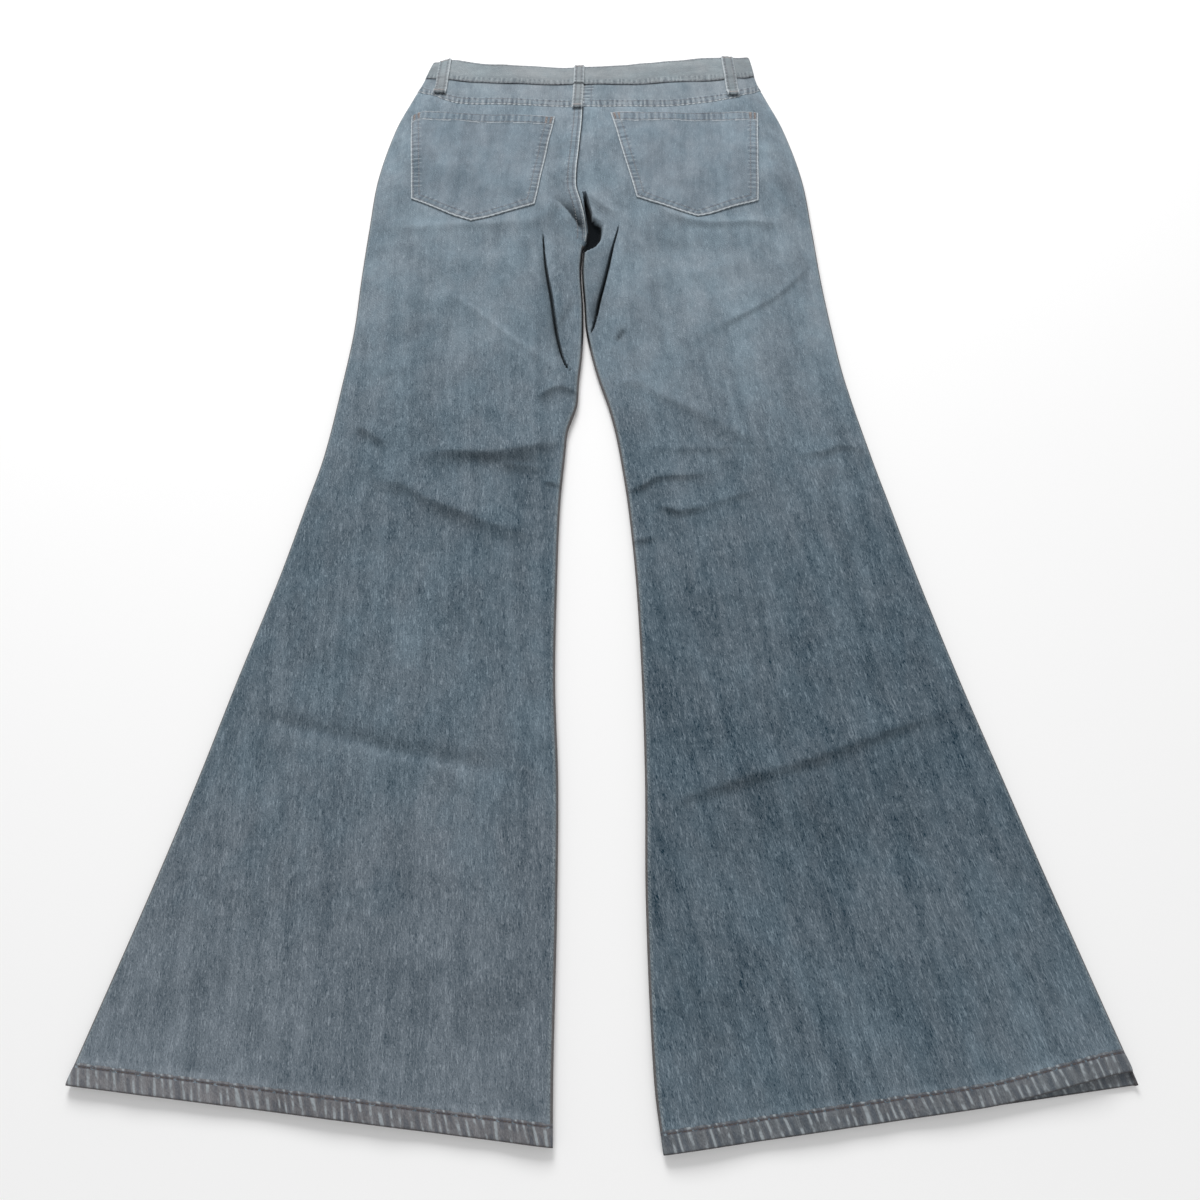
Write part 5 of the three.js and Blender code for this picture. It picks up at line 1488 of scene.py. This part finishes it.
def sew(name, pieces, stitches, thread, length=2.5, thickness=0.52, from_above=True):
    """Joins a copy of the stitch for each middle and direction into one mesh on the cloth."""
    points, faces = [], []
    for middle, way in stitches:
        found = cast_on(pieces, *middle, from_above)
        if found is None:
            continue
        place, normal = found
        if not from_above:
            normal = -normal
        along = np.array([way[0], way[1], 0.0])
        along -= normal * along.dot(normal)
        reach = np.linalg.norm(along)
        long = length / 2 if reach < 1.5 else reach / 2
        along /= reach
        across = np.cross(along, normal)
        size = np.array([thickness / 2, long, thickness * 0.42]) * MM
        shape = stitch_points * size
        base = place + normal * thickness * 0.08 * MM
        first = len(points) * len(stitch_points)
        points.append(base + shape[:, :1] * across + shape[:, 1:2] * along + shape[:, 2:] * normal)
        faces += [tuple(first + i for i in face) for face in stitch_faces]
    mesh = bpy.data.meshes.new(name)
    mesh.from_pydata(np.concatenate(points).tolist(), [], faces)
    piece = bpy.data.objects.new(name, mesh)
    bpy.context.collection.objects.link(piece)
    edit_all(piece, lambda: bpy.ops.mesh.normals_make_consistent(inside=False))
    pick(piece)
    bpy.ops.object.shade_smooth()
    mesh.materials.append(thread)
    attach(piece, "root")
    print(f"{name}: {len(points)} stitches")
    return piece


# %% Threads
def thread_material(name, dark, light):
    material = bpy.data.materials.new(name)
    material.use_nodes = True
    tree = material.node_tree
    place = node(tree, "ShaderNodeTexCoord").outputs["Object"]
    faded = node(tree, "ShaderNodeTexNoise", None, Vector=place, Scale=420.0, Detail=2.0).outputs[0]
    colour = blend_colour(tree, ramp(tree, faded, 0.35, 0.65), srgb(*dark), srgb(*light))
    shader = tree.nodes["Principled BSDF"]
    tree.links.new(colour, shader.inputs["Base Color"])
    tree.links.new(ramp(tree, faded, 0.3, 0.7, 0.6, 0.8), shader.inputs["Roughness"])
    shader.inputs["Sheen Weight"].default_value = 0.2
    return material


faded_thread = thread_material("Faded thread", (112, 112, 116), (156, 157, 160))
brown_thread = thread_material("Dark brown thread", (62, 54, 52), (92, 82, 76))
tack_thread = thread_material("Rust thread", (144, 130, 126), (178, 166, 160))
print("threads:", faded_thread.name, brown_thread.name, tack_thread.name)


# %% Rows on the back
def inset_corners(corners, distance):
    """The same outline, moved in by a distance all round."""
    corners = np.array(corners, float)
    middle = corners.mean(axis=0)
    lines = []
    for start, end in zip(corners, np.roll(corners, -1, axis=0)):
        way = (end - start) / np.hypot(*(end - start))
        inward = np.array([-way[1], way[0]])
        if inward.dot(middle - start) < 0:
            inward = -inward
        lines.append((start + inward * distance, way))
    inner = []
    for (p, a), (q, b) in zip(np.roll(np.array(lines), 1, axis=0), lines):
        share = np.linalg.solve(np.array([a, -b]).T, q - p)[0]
        inner.append(p + a * share)
    return np.array(inner)


back_cloth = back_panels + yokes + back_pockets + [waistband]
seams = []
for leg in (left, right):
    span = np.linspace(leg.outer(470) + 4 * leg.inward, leg.inner(450) - 2 * leg.inward, 60)
    seams += stitch_row(np.stack([span, waist["yoke_seam"](span) - 3.9], axis=-1))
    seams += stitch_row(np.stack([span, waist["yoke_seam"](span) + 3.5], axis=-1), start=1)
    span = np.linspace(leg.outer(500) + 4 * leg.inward, leg.inner(490) - 1 * leg.inward, 60)
    seams += stitch_row(np.stack([span, waist["back_bottom"](span) + 2.2], axis=-1), 3.1)
    span = np.linspace(leg.outer(525) + 4 * leg.inward, leg.inner(510) - 1 * leg.inward, 60)
    seams += stitch_row(np.stack([span, waist["back_top"](span) - 2.6], axis=-1), 3.1)
rise = np.linspace(252, 478, 80)
for offset in (2.5, 8.5):
    seams += stitch_row(np.stack([centre_x(rise) - offset, rise], axis=-1), 3.2)
sew("seat_stitches", back_cloth, seams, faded_thread)

corner_order = ("top_outer", "bottom_outer", "tip", "bottom_inner", "top_inner")
pocket_rows, tacks = [], []
for leg in (left, right):
    corner = [pockets[leg.name][key] for key in corner_order]
    for distance in (2.2, 8.2):
        pocket_rows += stitch_row(inset_corners(corner, distance)[[0, 1, 2, 3, 4]], 3.1)
    for distance in (2.4, 12.6):
        inner = inset_corners(corner, distance)
        side = inset_corners(corner, 2.2)
        ends = [side[0] - (side[0] - inner[0]) * [0, 1], side[4] - (side[4] - inner[4]) * [0, 1]]
        pocket_rows += stitch_row(ends, 3.1)
    for top, low in ((corner[0], corner[1]), (corner[4], corner[3])):
        way = np.subtract(low, top) / np.hypot(*np.subtract(low, top))
        inward = np.array([1, 0]) * np.sign(np.mean([c[0] for c in corner]) - top[0])
        for reach in (3.2, 8.2):
            tacks += bartack(np.array(top) + way * 7 + inward * reach, way, 10, 3.2)
sew("pocket_stitches", back_pockets, pocket_rows, faded_thread)
for loop_top, loop_bottom, half in back_loops.values():
    way = np.subtract(loop_top, loop_bottom) / np.hypot(*np.subtract(loop_top, loop_bottom))
    aside = np.array([way[1], -way[0]])
    for end, reach in ((loop_bottom, 3.2), (loop_top, -3.0)):
        tacks += bartack(np.array(end) + way * reach, aside, 2 * half - 3, 2.2)
sew("bartacks", back_pockets + loops, tacks, tack_thread, thickness=0.5)

loop_rows = []
for loop_top, loop_bottom, half in back_loops.values():
    way = np.subtract(loop_top, loop_bottom) / np.hypot(*np.subtract(loop_top, loop_bottom))
    aside = np.array([way[1], -way[0]])
    for offset in (3 - half, half - 3):
        low_end = np.array(loop_bottom) + aside * offset + way * 5
        high_end = np.array(loop_top) + aside * offset - way * 5
        loop_rows += stitch_row([low_end, high_end], 3)
sew("loop_stitches", loops, loop_rows, faded_thread, length=2.2, thickness=0.45)

# %% Rows on the hems and the front
hem_rows, front_rows = [], []
for leg in (left, right):
    t = np.linspace(0.01, 0.99, 50)
    line = back_hem_line(leg, HEM_ROW)(t)
    ends = leg.outer(line[0]), leg.inner(line[-1])
    hem_rows += stitch_row(np.stack([mix(*ends, t), line], axis=-1), 3.3)
sew("hem_stitches", hem_pieces, hem_rows, brown_thread, length=2.8, thickness=0.6)
for leg in (left, right):
    line = hem_line(leg, HEM_ROW)(t)
    ends = leg.outer(line[0]), leg.inner(line[-1])
    front_rows += stitch_row(np.stack([mix(*ends, t), line], axis=-1), 3.3)
    up = np.linspace(0.02, 1, 40)
    level = mouth_foot(leg) + MOUTH_DEPTH * up
    for offset in (2.2, 7.5):
        reach = leg.outer(level) + leg.inward * (MOUTH_WIDTH * np.sqrt(1 - (1 - up) ** 2) + offset)
        front_rows += stitch_row(np.stack([reach, level], axis=-1), 3.2)
    span = np.linspace(leg.outer(500) + 5 * leg.inward, centre_x(458) - 6 * leg.inward, 60)
    for edge_line, offset in (("front_bottom", 2.4), ("front_top", -2.6)):
        front_rows += stitch_row(np.stack([span, waist[edge_line](span) + offset], axis=-1), 3.1)
turn = np.linspace(0, 1, 30)
for offset in (34, 40):
    curve_x = centre_x(440) + FLY_LAP - offset * np.cos(turn * math.pi / 2) ** 0.7
    curve_y = 440 - (440 - FLY_END_Y + 4) * np.sin(turn * math.pi / 2)
    front_rows += stitch_row(np.stack([curve_x, curve_y], axis=-1), 3.2)
front_cloth = front_panels + hem_pieces + facings + [waistband]
sew("front_stitches", front_cloth, front_rows, faded_thread, from_above=False)

# %% [markdown]
# ## The light and the camera
# The jeans were photographed from above their hems, looking along the legs to the waist, at 64 degrees
# below the horizon. A broad soft light beyond the waist and above puts the shadow on the hem side of
# each ridge. The floor is plain and pale.

# %% Floor
bpy.ops.object.select_all(action="DESELECT")
bpy.ops.mesh.primitive_plane_add(size=12, location=(0, 0, -0.0004))
floor = bpy.context.object
floor.name = "floor"
floor_paint = bpy.data.materials.new("Pale floor")
floor_paint.use_nodes = True
floor_paint.node_tree.nodes["Principled BSDF"].inputs["Base Color"].default_value = srgb(250, 250, 250)
floor_paint.node_tree.nodes["Principled BSDF"].inputs["Roughness"].default_value = 0.9
floor.data.materials.append(floor_paint)
floor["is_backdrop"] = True


# %% Lights
def area_light(name, place, aim, size, power, colour=(1, 1, 1)):
    bpy.ops.object.select_all(action="DESELECT")
    bpy.ops.object.light_add(type="AREA", location=place)
    lamp = bpy.context.object
    lamp.name = name
    way = np.subtract(aim, place)
    flat = math.hypot(way[0], way[1])
    lamp.rotation_euler = (math.atan2(flat, -way[2]), 0, math.atan2(way[0], way[1]) * -1)
    lamp.data.shape = "SQUARE"
    lamp.data.size = size
    lamp.data.energy = power
    lamp.data.color = colour
    return lamp


area_light("Window light", (-0.5, 2.1, 1.7), (0, 0, 0), 1.3, 62)
area_light("Near fill", (0.6, -1.8, 2.2), (0, 0, 0), 2.4, 16)
world = bpy.data.worlds.new("Soft room")
bpy.context.scene.world = world
world.use_nodes = True
world.node_tree.nodes["Background"].inputs["Color"].default_value = (1, 1, 1, 1)
world.node_tree.nodes["Background"].inputs["Strength"].default_value = 0.45
bpy.context.scene.view_settings.view_transform = "Standard"

# %% Camera
bpy.ops.object.select_all(action="DESELECT")
bpy.ops.object.camera_add(location=(-0.0015, -0.477, 0.667), rotation=(math.radians(26), 0, 0))
camera = bpy.context.object
camera.name = "camera_over_the_hems"
camera.data.sensor_width = 36
camera.data.lens = 27
camera.data.clip_start = 0.01
bpy.context.scene.camera = camera

# %% Sizes, then the table
low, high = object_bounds()
{"cad": [list(cad_low), list(cad_high)], "visual": [list(low), list(high)]}
print("visual box:", [round(v, 4) for v in (*low, *high)])
